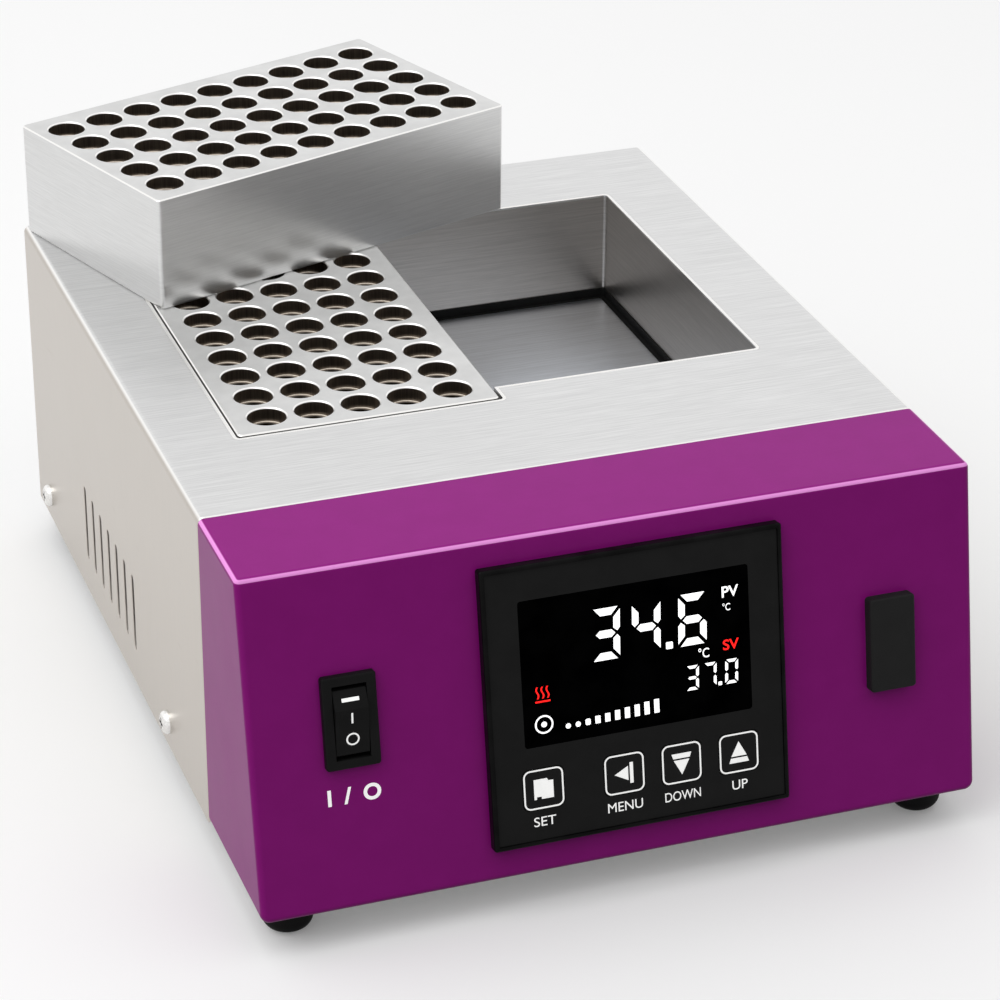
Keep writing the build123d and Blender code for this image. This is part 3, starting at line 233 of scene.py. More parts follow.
@dataclass(frozen=True)
class Finish:
    """A plain surface with faint mottling, and the base of every other finish."""

    name: str
    colour: Colour
    roughness: float = 0.4
    metallic: float = 0.0
    specular: float = 0.5
    coat: float = 0.0
    mottle: float = 0.06
    mottle_size: float = 9.0
    relief_size: float = 0.5
    relief_depth: float = 0.01

    def paint(self, board: Board) -> dict[str, object]:
        """Values and wires for the shader's sockets.

        Args:
            board: the material's node tree.

        Returns:
            Inputs of the surface shader, by name.
        """
        x, y, z = board.place()
        cloud = board.noise([axis / (self.mottle_size * MM) for axis in (x, y, z)], 3.0)
        relief = board.noise([axis / (self.relief_size * MM) for axis in (x, y, z)], 2.0)
        pale = tuple(min(1.0, part * (1 + self.mottle) + 0.02 * self.mottle) for part in self.colour)
        deep = tuple(part * (1 - self.mottle) for part in self.colour)
        return {
            "Base Color": board.blend(cloud.rising(0.3, 0.7), deep, pale),
            "Roughness": self.roughness * (0.9 + 0.2 * cloud),
            "Normal": board.bump(relief, self.relief_depth * MM),
        }

    def material(self) -> bpy.types.Material:
        """New material with this finish on it."""
        made = bpy.data.materials.new(self.name)
        made.use_nodes = True
        board = Board(made.node_tree)
        sockets = {
            "Metallic": self.metallic,
            "Specular IOR Level": self.specular,
            "Coat Weight": self.coat,
            "Coat Roughness": 0.08,
            **self.paint(board),
        }
        shader = board.wire("ShaderNodeBsdfPrincipled", None, sockets)
        board.node("ShaderNodeOutputMaterial", None, {"Surface": shader})
        made.diffuse_color = (*self.colour, 1.0)
        return made


@dataclass(frozen=True)
class BrushedMetal(Finish):
    """Metal with a directional grain: long across two axes and fine along the third, and a painted highlight on its
    rounded edges.
    """

    metallic: float = 1.0
    roughness: float = 0.34
    grain_x: float = 30.0
    grain_y: float = 30.0
    grain_z: float = 0.5
    contrast: float = 0.10
    groove: float = 0.004
    # painted highlight colour for rounded and cut edges
    edge_highlight_colour: Colour = (0.95, 0.94, 0.92)

    def grain(self, board: Board, spot: Sequence[Wire]) -> tuple[Wire, Wire]:
        """Two layers of the grain.

        Args:
            board: the material's node tree.
            spot: the point's coordinates.

        Returns:
            A coarse and a fine layer, each between 0 and 1.
        """
        lengths = (self.grain_x, self.grain_y, self.grain_z)
        coarse = [axis / (length * MM) for axis, length in zip(spot, lengths)]
        fine = [3.7 * axis for axis in coarse]
        return board.noise(coarse, 3.0, 0.2), board.noise(fine, 2.0)

    def paint(self, board: Board) -> dict[str, object]:
        """Streaked colour with a painted highlight on rounded edges, streaked roughness and shallow grooves."""
        spot = board.place()
        coarse, fine = self.grain(board, spot)
        cloud = board.noise([axis / (self.mottle_size * 5 * MM) for axis in spot], 2.0)
        streak = 0.55 * coarse + 0.45 * fine
        pale = tuple(min(1.0, part * (1 + self.contrast)) for part in self.colour)
        deep = tuple(part * (1 - self.contrast) for part in self.colour)
        return {
            # painted highlight: rounded and cut edges take the pale edge colour
            "Base Color": board.blend(
                board.glint(0.55, 0.85), board.blend(streak.rising(0.32, 0.68), deep, pale), self.edge_highlight_colour
            ),
            "Roughness": self.roughness * (0.82 + 0.26 * streak + 0.1 * cloud),
            "Normal": board.bump(streak, self.groove * MM, 0.6),
        }


@dataclass(frozen=True)
class HousingSteel(BrushedMetal):
    """Brushed sheet folded over the body, with painted shade that makes its upright sides darker and warmer than its
    top.
    """

    # painted shade: darker, warmer colour given to the upright sides
    side_shade_colour: Colour = (0.56, 0.52, 0.475)
    side_x: float = 0.1172
    edge_z: float = 0.118
    scratch_length: float = 22.0

    def paint(self, board: Board) -> dict[str, object]:
        """The base finish with painted shade on the upright sides, and a few stray scratches."""
        sockets = super().paint(board)
        x, y, z = board.place()
        side = abs(x).rising(self.side_x - 0.0008, self.side_x)
        # painted shade: the upright sides take the darker, warmer side colour
        side_shaded_colour = board.blend(side, sockets["Base Color"], self.side_shade_colour)
        scratch_spot = [axis / (length * MM) for axis, length in zip((x, y, z), (2.2, self.scratch_length, 2.2))]
        scratches = board.noise(scratch_spot, 6.0, 0.8).rising(0.66, 0.72)
        coarse, fine = self.grain(board, (x, y, z))
        sided = 1.0 + 0.22 * side * (0.5 * coarse + 0.5 * fine - 0.5)
        shade = board.wire("ShaderNodeCombineXYZ", None, {0: sided, 1: sided, 2: sided})
        tint = board.wire(
            "ShaderNodeVectorMath", {"operation": "MULTIPLY"}, {0: side_shaded_colour, 1: shade}, "Vector"
        )
        sockets["Base Color"] = tint
        sockets["Roughness"] = sockets["Roughness"] + 0.05 * scratches
        return sockets


@dataclass(frozen=True)
class LinerSteel(BrushedMetal):
    """Well walls: grain along the wall, with a painted highlight on the top rim, which is also made smoother."""

    rim_z: float = 0.1190
    # painted highlight colour of the top rim
    rim_highlight_colour: Colour = (0.93, 0.92, 0.90)

    def paint(self, board: Board) -> dict[str, object]:
        """The base finish with a painted highlight on its rim, which is also made smoother."""
        sockets = super().paint(board)
        rim = board.place()[2].rising(self.rim_z - 0.0002, self.rim_z)
        # painted highlight along the top rim
        sockets["Base Color"] = board.blend(rim, sockets["Base Color"], self.rim_highlight_colour)
        sockets["Roughness"] = sockets["Roughness"] * (1.0 - 0.3 * rim)
        return sockets


@dataclass(frozen=True)
class BlockAluminium(BrushedMetal):
    """Tube block: satin top, grained sides, bored wells in painted shade with a painted highlight on their ledge, and
    painted highlights on rounded edges.
    """

    centre_x: float = 0.0
    centre_y: float = 0.0
    top_z: float = 0.0
    turn: float = 0.0
    half_width: float = 0.04325
    half_length: float = 0.07275
    edge: float = 0.0012
    # painted shade inside the wells, darkest and brownest at their floor, and a painted highlight on the ledge
    well_shade_colour: Colour = (0.20, 0.165, 0.135)
    ledge_highlight_colour: Colour = (0.95, 0.90, 0.83)
    well_floor_shade_colour: Colour = (0.15, 0.085, 0.05)
    ledge_depth: float = 0.0049
    ledge_half: float = 0.00022

    def paint(self, board: Board) -> dict[str, object]:
        """The base finish, with painted shade in the wells, which are told apart by their place in the block, and
        painted highlights on their ledge and on rounded edges.
        """
        x, y, z = board.place()
        turned_x = cos(self.turn) * (x - self.centre_x) + sin(self.turn) * (y - self.centre_y)
        turned_y = cos(self.turn) * (y - self.centre_y) - sin(self.turn) * (x - self.centre_x)
        depth = self.top_z - z
        coarse, fine = self.grain(board, (turned_x, turned_y, z))
        streak = 0.5 * coarse + 0.5 * fine
        cloud = board.noise([axis / 0.045 for axis in (turned_x, turned_y, z)], 2.0)
        pale = tuple(min(1.0, part * (1 + self.contrast)) for part in self.colour)
        deep = tuple(part * (1 - self.contrast) for part in self.colour)
        skin = board.blend(streak.rising(0.3, 0.7), deep, pale)
        within = (1.0 - abs(turned_x).rising(self.half_width - 1.4 * self.edge, self.half_width - self.edge)) * (
            1.0 - abs(turned_y).rising(self.half_length - 1.4 * self.edge, self.half_length - self.edge)
        )
        # painted highlight on rounded edges
        skin = board.blend(board.glint(0.55, 0.85), skin, self.edge_highlight_colour)
        bored = within * depth.rising(0.0005, 0.0007)
        streaks = board.noise([turned_x / 0.0006, turned_y / 0.0006, z / 0.02], 2.0)
        # painted shade down the wells, darker towards the floor, with a painted highlight at the ledge
        dark = tuple(part * 0.62 for part in self.well_shade_colour)
        well_shading = board.blend(streaks.rising(0.25, 0.75), dark, self.well_shade_colour)
        well_shading = board.blend(depth.rising(self.ledge_depth, self.ledge_depth + 0.001), well_shading, self.well_floor_shade_colour)
        ledge = 1.0 - abs(depth - self.ledge_depth).rising(self.ledge_half * 0.6, self.ledge_half)
        well_shading = board.blend(ledge, well_shading, self.ledge_highlight_colour)
        return {
            "Base Color": board.blend(bored, skin, well_shading),
            "Roughness": self.roughness * (0.84 + 0.24 * streak + 0.1 * cloud) + 0.06 * bored,
            "Normal": board.bump(streak * (1.0 - bored), self.groove * MM, 0.6),
        }


@dataclass(frozen=True)
class PurplePlastic(Finish):
    """Glossy moulded plastic with a slight orange peel, faint moulding haze and a painted highlight on rounded edges.
    """

    peel_size: float = 1.6
    # painted highlight colour for rounded edges
    edge_highlight_colour: Colour = (0.95, 0.35, 0.85)

    def paint(self, board: Board) -> dict[str, object]:
        """The base finish with a broader relief on top of the fine one, and a painted highlight on rounded edges."""
        sockets = super().paint(board)
        spot = [axis / (self.peel_size * MM) for axis in board.place()]
        haze = board.noise([axis * 0.04 for axis in spot], 2.0)
        # painted highlight: rounded edges take the pale magenta colour
        sockets["Base Color"] = board.blend(board.glint(0.5, 0.85), sockets["Base Color"], self.edge_highlight_colour)
        sockets["Normal"] = board.bump(board.noise(spot, 1.0), self.relief_depth * MM)
        sockets["Roughness"] = self.roughness * (0.86 + 0.28 * haze)
        return sockets


@dataclass(frozen=True)
class Lit(Finish):
    """Lit mark behind the display's glass, a little brighter at its middle. Printed ink uses it too, and its glow
    there is painted light.
    """

    glow: float = 1.0

    def paint(self, board: Board) -> dict[str, object]:
        """Emission that carries the mark's colour."""
        spot = [axis / (2.5 * MM) for axis in board.place()]
        level = 0.94 + 0.12 * board.noise(spot, 1.0)
        dim = tuple(part * 0.9 for part in self.colour)
        return {
            "Base Color": board.blend(level.rising(0.9, 1.05), dim, self.colour),
            "Roughness": self.roughness + 0.1 * level,
            "Emission Color": board.blend(level.rising(0.9, 1.05), dim, self.colour),
            "Emission Strength": self.glow,
        }


@dataclass(frozen=True)
class Speckled(Finish):
    """Surface with fibres or grains of a second colour."""

    second: Colour = (0.5, 0.5, 0.5)
    grain_size: float = 0.8
    share: float = 0.55

    def paint(self, board: Board) -> dict[str, object]:
        """The base finish with specks of the second colour."""
        sockets = super().paint(board)
        specks = board.noise([axis / (self.grain_size * MM) for axis in board.place()], 4.0, 0.6)
        spread = specks.rising(self.share - 0.06, self.share + 0.06)
        sockets["Base Color"] = board.blend(spread, sockets["Base Color"], self.second)
        sockets["Normal"] = board.bump(specks, self.relief_depth * MM)
        return sockets


class Role(Enum):
    """The finish that a node or a new piece takes, with the frame's slot of the same name."""

    LINER = LinerSteel("liner_steel", (0.50, 0.475, 0.45), grain_z=0.5, grain_x=26.0, grain_y=26.0)
    TRAY = BrushedMetal("tray_steel", (0.45, 0.45, 0.44), grain_x=20.0, grain_y=0.6, grain_z=20.0)
    HOUSING = HousingSteel("housing_steel", (0.72, 0.72, 0.72), grain_x=30.0, grain_y=0.55, grain_z=30.0)
    PURPLE = PurplePlastic("purple_plastic", (0.28, 0.008, 0.21), 0.30, specular=0.08, mottle=0.02)
    PLATE = BrushedMetal("plate_aluminium", (0.60, 0.63, 0.68), grain_x=30.0, grain_y=0.7, grain_z=30.0)
    GLOSS = Finish("gloss_black", (0.003, 0.003, 0.003), 0.16, specular=0.05, mottle=0.2)
    FACE = Finish("face_black", (0.012, 0.012, 0.012), 0.42, specular=0.06, relief_size=0.3)
    GLASS = Finish("display_glass", (0.0004, 0.0004, 0.0005), 0.12, specular=0.0, relief_depth=0.0)
    KEY = Finish("key_grey", (0.013, 0.013, 0.013), 0.45, specular=0.06, relief_size=0.3)
    BLANK = Finish("blank_black", (0.014, 0.014, 0.014), 0.62, specular=0.12, relief_size=0.7, relief_depth=0.09)
    SATIN = Finish("black_plastic", (0.009, 0.009, 0.009), 0.36, specular=0.06, relief_depth=0.02)
    RUBBER = Finish("black_rubber", (0.007, 0.007, 0.007), 0.62, specular=0.08, relief_depth=0.03)
    MAT = Finish("mat_rubber", (0.42, 0.10, 0.045), 0.6, relief_size=0.9, relief_depth=0.05)
    WOOL = Speckled("insulation_wool", (0.62, 0.57, 0.40), 0.95, second=(0.42, 0.36, 0.22), relief_depth=0.25)
    BOARD = Speckled("board_green", (0.02, 0.12, 0.05), 0.35, second=(0.03, 0.20, 0.08), grain_size=1.6)
    RELAY = Finish("relay_plastic", (0.045, 0.045, 0.05), 0.45)
    SCREW = BrushedMetal("screw_steel", (0.50, 0.50, 0.49), 0.3, grain_x=0.5, grain_y=0.5, grain_z=0.5)
    CHROME = BrushedMetal("screw_chrome", (0.80, 0.79, 0.77), 0.2, grain_x=0.7, grain_y=0.7, grain_z=0.7)
    BRASS = BrushedMetal("brass_metal", (0.66, 0.46, 0.20), 0.3, grain_x=0.6, grain_y=0.6, grain_z=0.6)
    FUSE = Finish("fuse_glass", (0.70, 0.73, 0.72), 0.12, mottle=0.04)
    WIRE_BLACK = Finish("wire_black", (0.013, 0.013, 0.013), 0.45)
    WIRE_RED = Finish("wire_red", (0.42, 0.02, 0.015), 0.42)
    WIRE_WHITE = Finish("wire_white", (0.72, 0.70, 0.66), 0.5)
    LIT_WHITE = Lit("lit_white", (1.0, 1.0, 1.0), glow=1.0)
    LIT_RED = Lit("lit_red", (1.0, 0.006, 0.004), glow=1.0)
    # painted light: the printed white ink glows so that it stays bright on the dim front
    INK_WHITE_SELF_LIT = Lit("ink_white_self_lit", (0.86, 0.86, 0.85), 0.5, glow=0.55)


@lru_cache(maxsize=None)
def material_of(finish: Finish) -> bpy.types.Material:
    """Material of a finish, made the first time it is asked for."""
    return finish.material()


def dress(node: str, finish: Finish) -> None:
    """Gives a node of the frame its finish.

    Args:
        node: the node's name.
        finish: the finish for its whole surface.
    """
    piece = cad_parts[node]
    if not piece.material_slots:
        piece.data.materials.append(material_of(finish))
    for slot in piece.material_slots:
        slot.material = material_of(finish)
    log.info("dressed %s in %s", node, finish.name)


def low_corner(node: str) -> Vector:
    """Lowest corner of a node's box."""
    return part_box(node)[0]


def high_corner(node: str) -> Vector:
    """Highest corner of a node's box."""
    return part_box(node)[1]


@dataclass(frozen=True)
class LeaningFace:
    """The control face of the bezel: its lean, its length and what stands on it, in millimetres."""

    lean_degrees: float = 10.2
    body_depth: float = 296.0
    below_controller: float = 11.1
    controller_x: float = 3.9
    controller_width: float = 97.0
    face_out: float = 3.3

    @property
    def lean(self) -> float:
        """Lean in radians."""
        return radians(self.lean_degrees)

    @property
    def foot(self) -> Vector:
        """Middle of the face's lower edge, before that edge is rounded."""
        back_y = high_corner("rear_panel").y
        return Vector((0.0, back_y - self.body_depth * MM, low_corner("housing_cover").z))

    def at(self, x: float, up: float, out: float) -> Matrix:
        """Place on the face whose local axes are right, up the face and out of it.

        Args:
            x: millimetres to the right of the body's middle.
            up: millimetres up the face from its foot.
            out: millimetres out of the face.

        Returns:
            The place as a matrix in metres.
        """
        right = Vector((1, 0, 0))
        rise = Vector((0, sin(self.lean), cos(self.lean)))
        away = Vector((0, -cos(self.lean), sin(self.lean)))
        spot = self.foot + (right * x + rise * up + away * out) * MM
        return Matrix.Translation(spot) @ Matrix((right, rise, away)).transposed().to_4x4()

    def on_controller(self, across: float, up: float, out: float) -> Matrix:
        """Place on the controller, measured from the lower left corner of its frame."""
        left = self.controller_x - self.controller_width / 2
        return self.at(left + across, self.below_controller + up, out)


class Workbench:
    """Ways to model a flat mark by operators. Marks are made in the XY plane, in millimetres."""

    def __init__(self, thickness: float) -> None:
        """Keeps the thickness of every mark made here, in millimetres."""
        self.thickness = thickness

    @contextmanager
    def editing(self, piece: bpy.types.Object) -> Iterator[None]:
        """Edit mode on one piece, with nothing selected at its start."""
        self.take(piece)
        bpy.ops.object.mode_set(mode="EDIT")
        bpy.ops.mesh.select_mode(type="VERT")
        bpy.ops.mesh.select_all(action="DESELECT")
        yield
        bpy.ops.object.mode_set(mode="OBJECT")

    def take(self, *taken: bpy.types.Object) -> None:
        """Selects these pieces alone and makes the first one active."""
        bpy.ops.object.select_all(action="DESELECT")
        for piece in taken:
            piece.select_set(True)
        bpy.context.view_layer.objects.active = taken[0]

    def pick(self, piece: bpy.types.Object, kind: str, test: Callable[[Vector], bool]) -> None:
        """Selects the vertices, edges or faces whose middle passes a test.

        Args:
            piece: the piece in edit mode.
            kind: "verts", "edges" or "faces".
            test: whether to select what has this middle.
        """
        bpy.ops.mesh.select_all(action="DESELECT")
        cage = bmesh.from_edit_mesh(piece.data)
        for part in getattr(cage, kind):
            corners = [part.co] if kind == "verts" else [corner.co for corner in part.verts]
            if test(sum(corners, Vector()) / len(corners)):
                part.select_set(True)
        bmesh.update_edit_mesh(piece.data)

    def plane(self, name: str, width: float, height: float, cuts: int = 1) -> bpy.types.Object:
        """Flat rectangle about the origin, as a grid of cells.

        Args:
            name: the piece's name.
            width: its size along X.
            height: its size along Y.
            cuts: cells along each side.

        Returns:
            The piece.
        """
        bpy.ops.object.select_all(action="DESELECT")
        bpy.ops.mesh.primitive_grid_add(x_subdivisions=cuts, y_subdivisions=cuts, size=1.0)
        piece = bpy.context.object
        piece.name = name
        with self.editing(piece):
            bpy.ops.mesh.select_all(action="SELECT")
            bpy.ops.transform.resize(value=(width, height, 1.0))
        return piece

    def disc(self, name: str, radius: float, corners: int = 40) -> bpy.types.Object:
        """Flat disc or regular polygon about the origin."""
        bpy.ops.object.select_all(action="DESELECT")
        bpy.ops.mesh.primitive_circle_add(vertices=corners, radius=radius, fill_type="NGON")
        piece = bpy.context.object
        piece.name = name
        return piece

    def shift(self, piece: bpy.types.Object, by: Sequence[float], test: Callable[[Vector], bool]) -> None:
        """Moves the vertices that pass a test, in edit mode."""
        self.pick(piece, "verts", test)
        bpy.ops.transform.translate(value=(*by, 0.0))

    def round_corners(self, piece: bpy.types.Object, radius: float, segments: int = 6) -> None:
        """Rounds every corner of a flat mark."""
        with self.editing(piece):
            bpy.ops.mesh.select_all(action="SELECT")
            bpy.ops.mesh.bevel(offset=radius, segments=segments, affect="VERTICES")

    def hollow(self, piece: bpy.types.Object, line: float) -> None:
        """Leaves only a line along the outline of a flat mark."""
        with self.editing(piece):
            bpy.ops.mesh.select_all(action="SELECT")
            bpy.ops.mesh.inset(thickness=line)
            bpy.ops.mesh.delete(type="FACE")

    def thicken(self, piece: bpy.types.Object) -> None:
        """Extrudes a flat mark to the bench's thickness and turns its faces outwards."""
        with self.editing(piece):
            bpy.ops.mesh.select_all(action="SELECT")
            bpy.ops.mesh.extrude_region_move(TRANSFORM_OT_translate={"value": (0, 0, self.thickness)})
            bpy.ops.mesh.select_all(action="SELECT")
            bpy.ops.mesh.remove_doubles(threshold=1e-5)
            bpy.ops.mesh.normals_make_consistent(inside=False)

    def move(self, piece: bpy.types.Object, across: float, up: float) -> bpy.types.Object:
        """Moves a whole mark in its plane."""
        with self.editing(piece):
            bpy.ops.mesh.select_all(action="SELECT")
            bpy.ops.transform.translate(value=(across, up, 0.0))
        return piece

    def copy(self, piece: bpy.types.Object, name: str) -> bpy.types.Object:
        """Copy of a mark with a mesh of its own."""
        self.take(piece)
        bpy.ops.object.duplicate(linked=False)
        made = bpy.context.object
        made.name = name
        return made

    def join(self, name: str, marks: Sequence[bpy.types.Object]) -> bpy.types.Object:
        """One piece from several marks.

        Args:
            name: the piece's name.
            marks: what it is joined from.

        Returns:
            The joined piece.
        """
        self.take(*marks)
        if len(marks) > 1:
            bpy.ops.object.join()
        marks[0].name = name
        return marks[0]

    def words(
        self, name: str, text: str, width: float, height: float, weight: float = 0.0
    ) -> bpy.types.Object:
        """Raised lettering fitted to a size, its lower left corner at the origin.

        Args:
            name: the piece's name.
            text: what it says.
            width: its whole width.
            height: its whole height.
            weight: how much each stroke is thickened, as a share of the letters' size.

        Returns:
            The lettering as a mesh.
        """
        bpy.ops.object.select_all(action="DESELECT")
        bpy.ops.object.text_add()
        piece = bpy.context.object
        piece.data.body = text
        piece.data.offset = weight
        piece.data.extrude = self.thickness / 2
        bpy.ops.object.convert(target="MESH")
        piece = bpy.context.object
        piece.name = name
        low = Vector([min(vertex.co[axis] for vertex in piece.data.vertices) for axis in range(3)])
        high = Vector([max(vertex.co[axis] for vertex in piece.data.vertices) for axis in range(3)])
        fit = Matrix.Diagonal((width / (high.x - low.x), height / (high.y - low.y), 1.0, 1.0))
        piece.data.transform(fit @ Matrix.Translation(-low))
        with self.editing(piece):
            bpy.ops.mesh.select_all(action="SELECT")
            bpy.ops.mesh.remove_doubles(threshold=1e-5)
            bpy.ops.mesh.normals_make_consistent(inside=False)
        return piece

    def settle(
        self, piece: bpy.types.Object, place: Matrix, body: str, finish: Finish, shown_slot: str | None = None
    ) -> bpy.types.Object:
        """Puts a finished mark in its place, dresses it and makes it ride.

        Args:
            piece: the mark, made in millimetres in the XY plane.
            place: where its plane goes, in metres.
            body: the body that carries it.
            finish: its finish.
            shown_slot: the frame's material slot that it belongs to, if it has one. Not used.

        Returns:
            The piece.
        """
        piece.data.transform(place @ Matrix.Scale(MM, 4))
        piece.data.materials.clear()
        piece.data.materials.append(material_of(finish))
        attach(piece, body)
        log.info("made %s on %s", piece.name, body)
        return piece


@dataclass
class Housing:
    """Folded cover, tray, rear panel, feet and the screws that hold them."""

    nodes: Mapping[str, Role] = field(
        default_factory=lambda: {
            "housing_cover": Role.HOUSING,
            "rear_panel": Role.HOUSING,
            "base_tray": Role.TRAY,
            "front_bezel": Role.PURPLE,
            "blank_plug": Role.BLANK,
            "side_screws": Role.CHROME,
            "rear_panel_screws": Role.CHROME,
            "bezel_screws": Role.CHROME,
            "foot_screws": Role.SCREW,
        }
    )
    feet: Sequence[str] = ("front_left", "front_right", "rear_left", "rear_right")

    def build(self) -> None:
        """Dresses the housing's nodes."""
        for node, role in self.nodes.items():
            dress(node, role.value)
        for foot in self.feet:
            dress("foot_" + foot, Role.RUBBER.value)


@dataclass
class HeatingWell:
    """Well walls, gasket, hot plate and the two tube blocks."""

    block_colour: Colour = (0.70, 0.70, 0.695)
    lifted_turn: float = 18.7
    quarter_turn: float = 90.0

    def block_finish(self, node: str, turn_degrees: float) -> BlockAluminium:
        """Finish of a tube block, centred and turned as the block is.

        Args:
            node: the block's node.
            turn_degrees: how far its long axis is turned from Y.

        Returns:
            The finish.
        """
        low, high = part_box(node)
        middle = (low + high) / 2
        return BlockAluminium(
            node + "_aluminium",
            self.block_colour,
            0.30,
            grain_x=24.0,
            grain_y=24.0,
            grain_z=0.5,
            contrast=0.07,
            centre_x=middle.x,
            centre_y=middle.y,
            top_z=high.z,
            turn=radians(turn_degrees),
        )

    def build(self) -> None:
        """Dresses the well and the blocks."""
        dress("well_liner", Role.LINER.value)
        dress("well_gasket", Role.RUBBER.value)
        dress("heating_plate", Role.PLATE.value)
        dress("tube_block_seated", self.block_finish("tube_block_seated", 0.0))
        turn = self.lifted_turn - self.quarter_turn
        dress("tube_block_lifted", self.block_finish("tube_block_lifted", turn))


@dataclass
class InnerParts:
    """What the housing holds out of sight, and the mains side at the back."""

    nodes: Mapping[str, Role] = field(
        default_factory=lambda: {
            "heater_mat": Role.MAT,
            "insulation": Role.WOOL,
            "support_rails": Role.TRAY,
            "support_posts": Role.SCREW,
            "post_screws": Role.SCREW,
            "temperature_probe": Role.CHROME,
            "thermal_cutout": Role.RELAY,
            "cutout_screws": Role.SCREW,
            "controller_case": Role.SATIN,
            "display_board": Role.BOARD,
            "power_board": Role.BOARD,
            "controller_terminals": Role.RELAY,
            "controller_clamps": Role.TRAY,
            "switch_tabs": Role.BRASS,
            "mains_inlet": Role.SATIN,
            "inlet_pins": Role.CHROME,
            "inlet_screws": Role.CHROME,
            "fuse_drawer": Role.SATIN,
            "fuse": Role.FUSE,
            "earth_stud": Role.SCREW,
            "earth_nut": Role.BRASS,
            "solid_state_relay": Role.RELAY,
            "relay_screws": Role.SCREW,
            "terminal_strip": Role.RELAY,
            "strip_screws": Role.SCREW,
            "mains_wiring": Role.WIRE_BLACK,
            "heater_wiring": Role.WIRE_RED,
            "probe_lead": Role.WIRE_WHITE,
        }
    )

    def build(self) -> None:
        """Dresses the inner nodes."""
        for node, role in self.nodes.items():
            dress(node, role.value)


@dataclass
class SevenSegments:
    """Seven-segment figures with mitred outer ends and pointed inner ends, in millimetres."""

    bench: Workbench
    width: float
    height: float
    stroke: float
    upright: float
    inset: float
    slant_degrees: float = 2.0
    shapes: Mapping[str, str] = field(
        default_factory=lambda: {"0": "abcdef", "3": "abcdg", "4": "bcfg", "6": "acdefg", "7": "abc"}
    )

    def level(self, upper: bool) -> bpy.types.Object:
        """Top or bottom segment: a bar whose inner side is shorter by a mitre at each end."""
        length = self.width - 2 * self.inset
        made = self.bench.plane("segment", length, self.stroke)
        inner = -1 if upper else 1
        for end in (-1, 1):
            with self.bench.editing(made):
                self.bench.shift(
                    made,
                    (-end * self.upright, 0.0),
                    lambda spot: spot.x * end > 0 and spot.y * inner > 0,
                )
        up = self.height - self.stroke / 2 if upper else self.stroke / 2
        return self.bench.move(made, self.width / 2, up)

    def middle(self) -> bpy.types.Object:
        """Middle segment: a bar with both ends drawn to a point."""
        point = self.stroke / 2
        length = self.width - 4 * self.inset - 2 * point
        made = self.bench.plane("segment", length, self.stroke)
        with self.bench.editing(made):
            for end in (-1, 1):
                self.bench.pick(made, "edges", lambda spot: spot.x * end > 0.49 * length)
                bpy.ops.mesh.extrude_region_move(TRANSFORM_OT_translate={"value": (end * point, 0, 0)})
                bpy.ops.mesh.merge(type="CENTER")
        return self.bench.move(made, self.width / 2, self.height / 2)

    def side(self, right: bool, upper: bool) -> bpy.types.Object:
        """Upright segment: mitred at its outer end and pointed at its inner end."""
        half = self.height / 2
        point = self.upright / 2
        start = 0.8 * self.inset + point
        length = half - 1.2 * self.inset - self.stroke / 2 - start
        made = self.bench.plane("segment", self.upright, length)
        out = 1 if right else -1
        end = 1 if upper else -1
        with self.bench.editing(made):
            for side in (-1, 1):
                self.bench.shift(
                    made,
                    (0.0, side * end * self.stroke / 2),
                    lambda spot: spot.x * out * side > 0 and spot.y * end > 0,
                )
            self.bench.pick(made, "edges", lambda spot: spot.y * end < -0.49 * length)
            bpy.ops.mesh.extrude_region_move(
                TRANSFORM_OT_translate={"value": (0.1 * out * self.upright, -end * point, 0)}
            )
            bpy.ops.mesh.merge(type="CENTER")
        across = self.width - self.upright / 2 if right else self.upright / 2
        return self.bench.move(made, across, half + end * (start + length / 2))

    def figure(self, figure: str) -> bpy.types.Object:
        """One figure with its lower left corner at the origin.

        Args:
            figure: which figure to show.

        Returns:
            The figure, flat and upright.
        """
        makers = {
            "a": lambda: self.level(True),
            "b": lambda: self.side(True, True),
            "c": lambda: self.side(True, False),
            "d": lambda: self.level(False),
            "e": lambda: self.side(False, False),
            "f": lambda: self.side(False, True),
            "g": self.middle,
        }
        made = self.bench.join("figure_" + figure, [makers[letter]() for letter in self.shapes[figure]])
        slant = Matrix.Identity(4)
        slant[0][1] = sin(radians(self.slant_degrees))
        made.data.transform(slant)
        return made


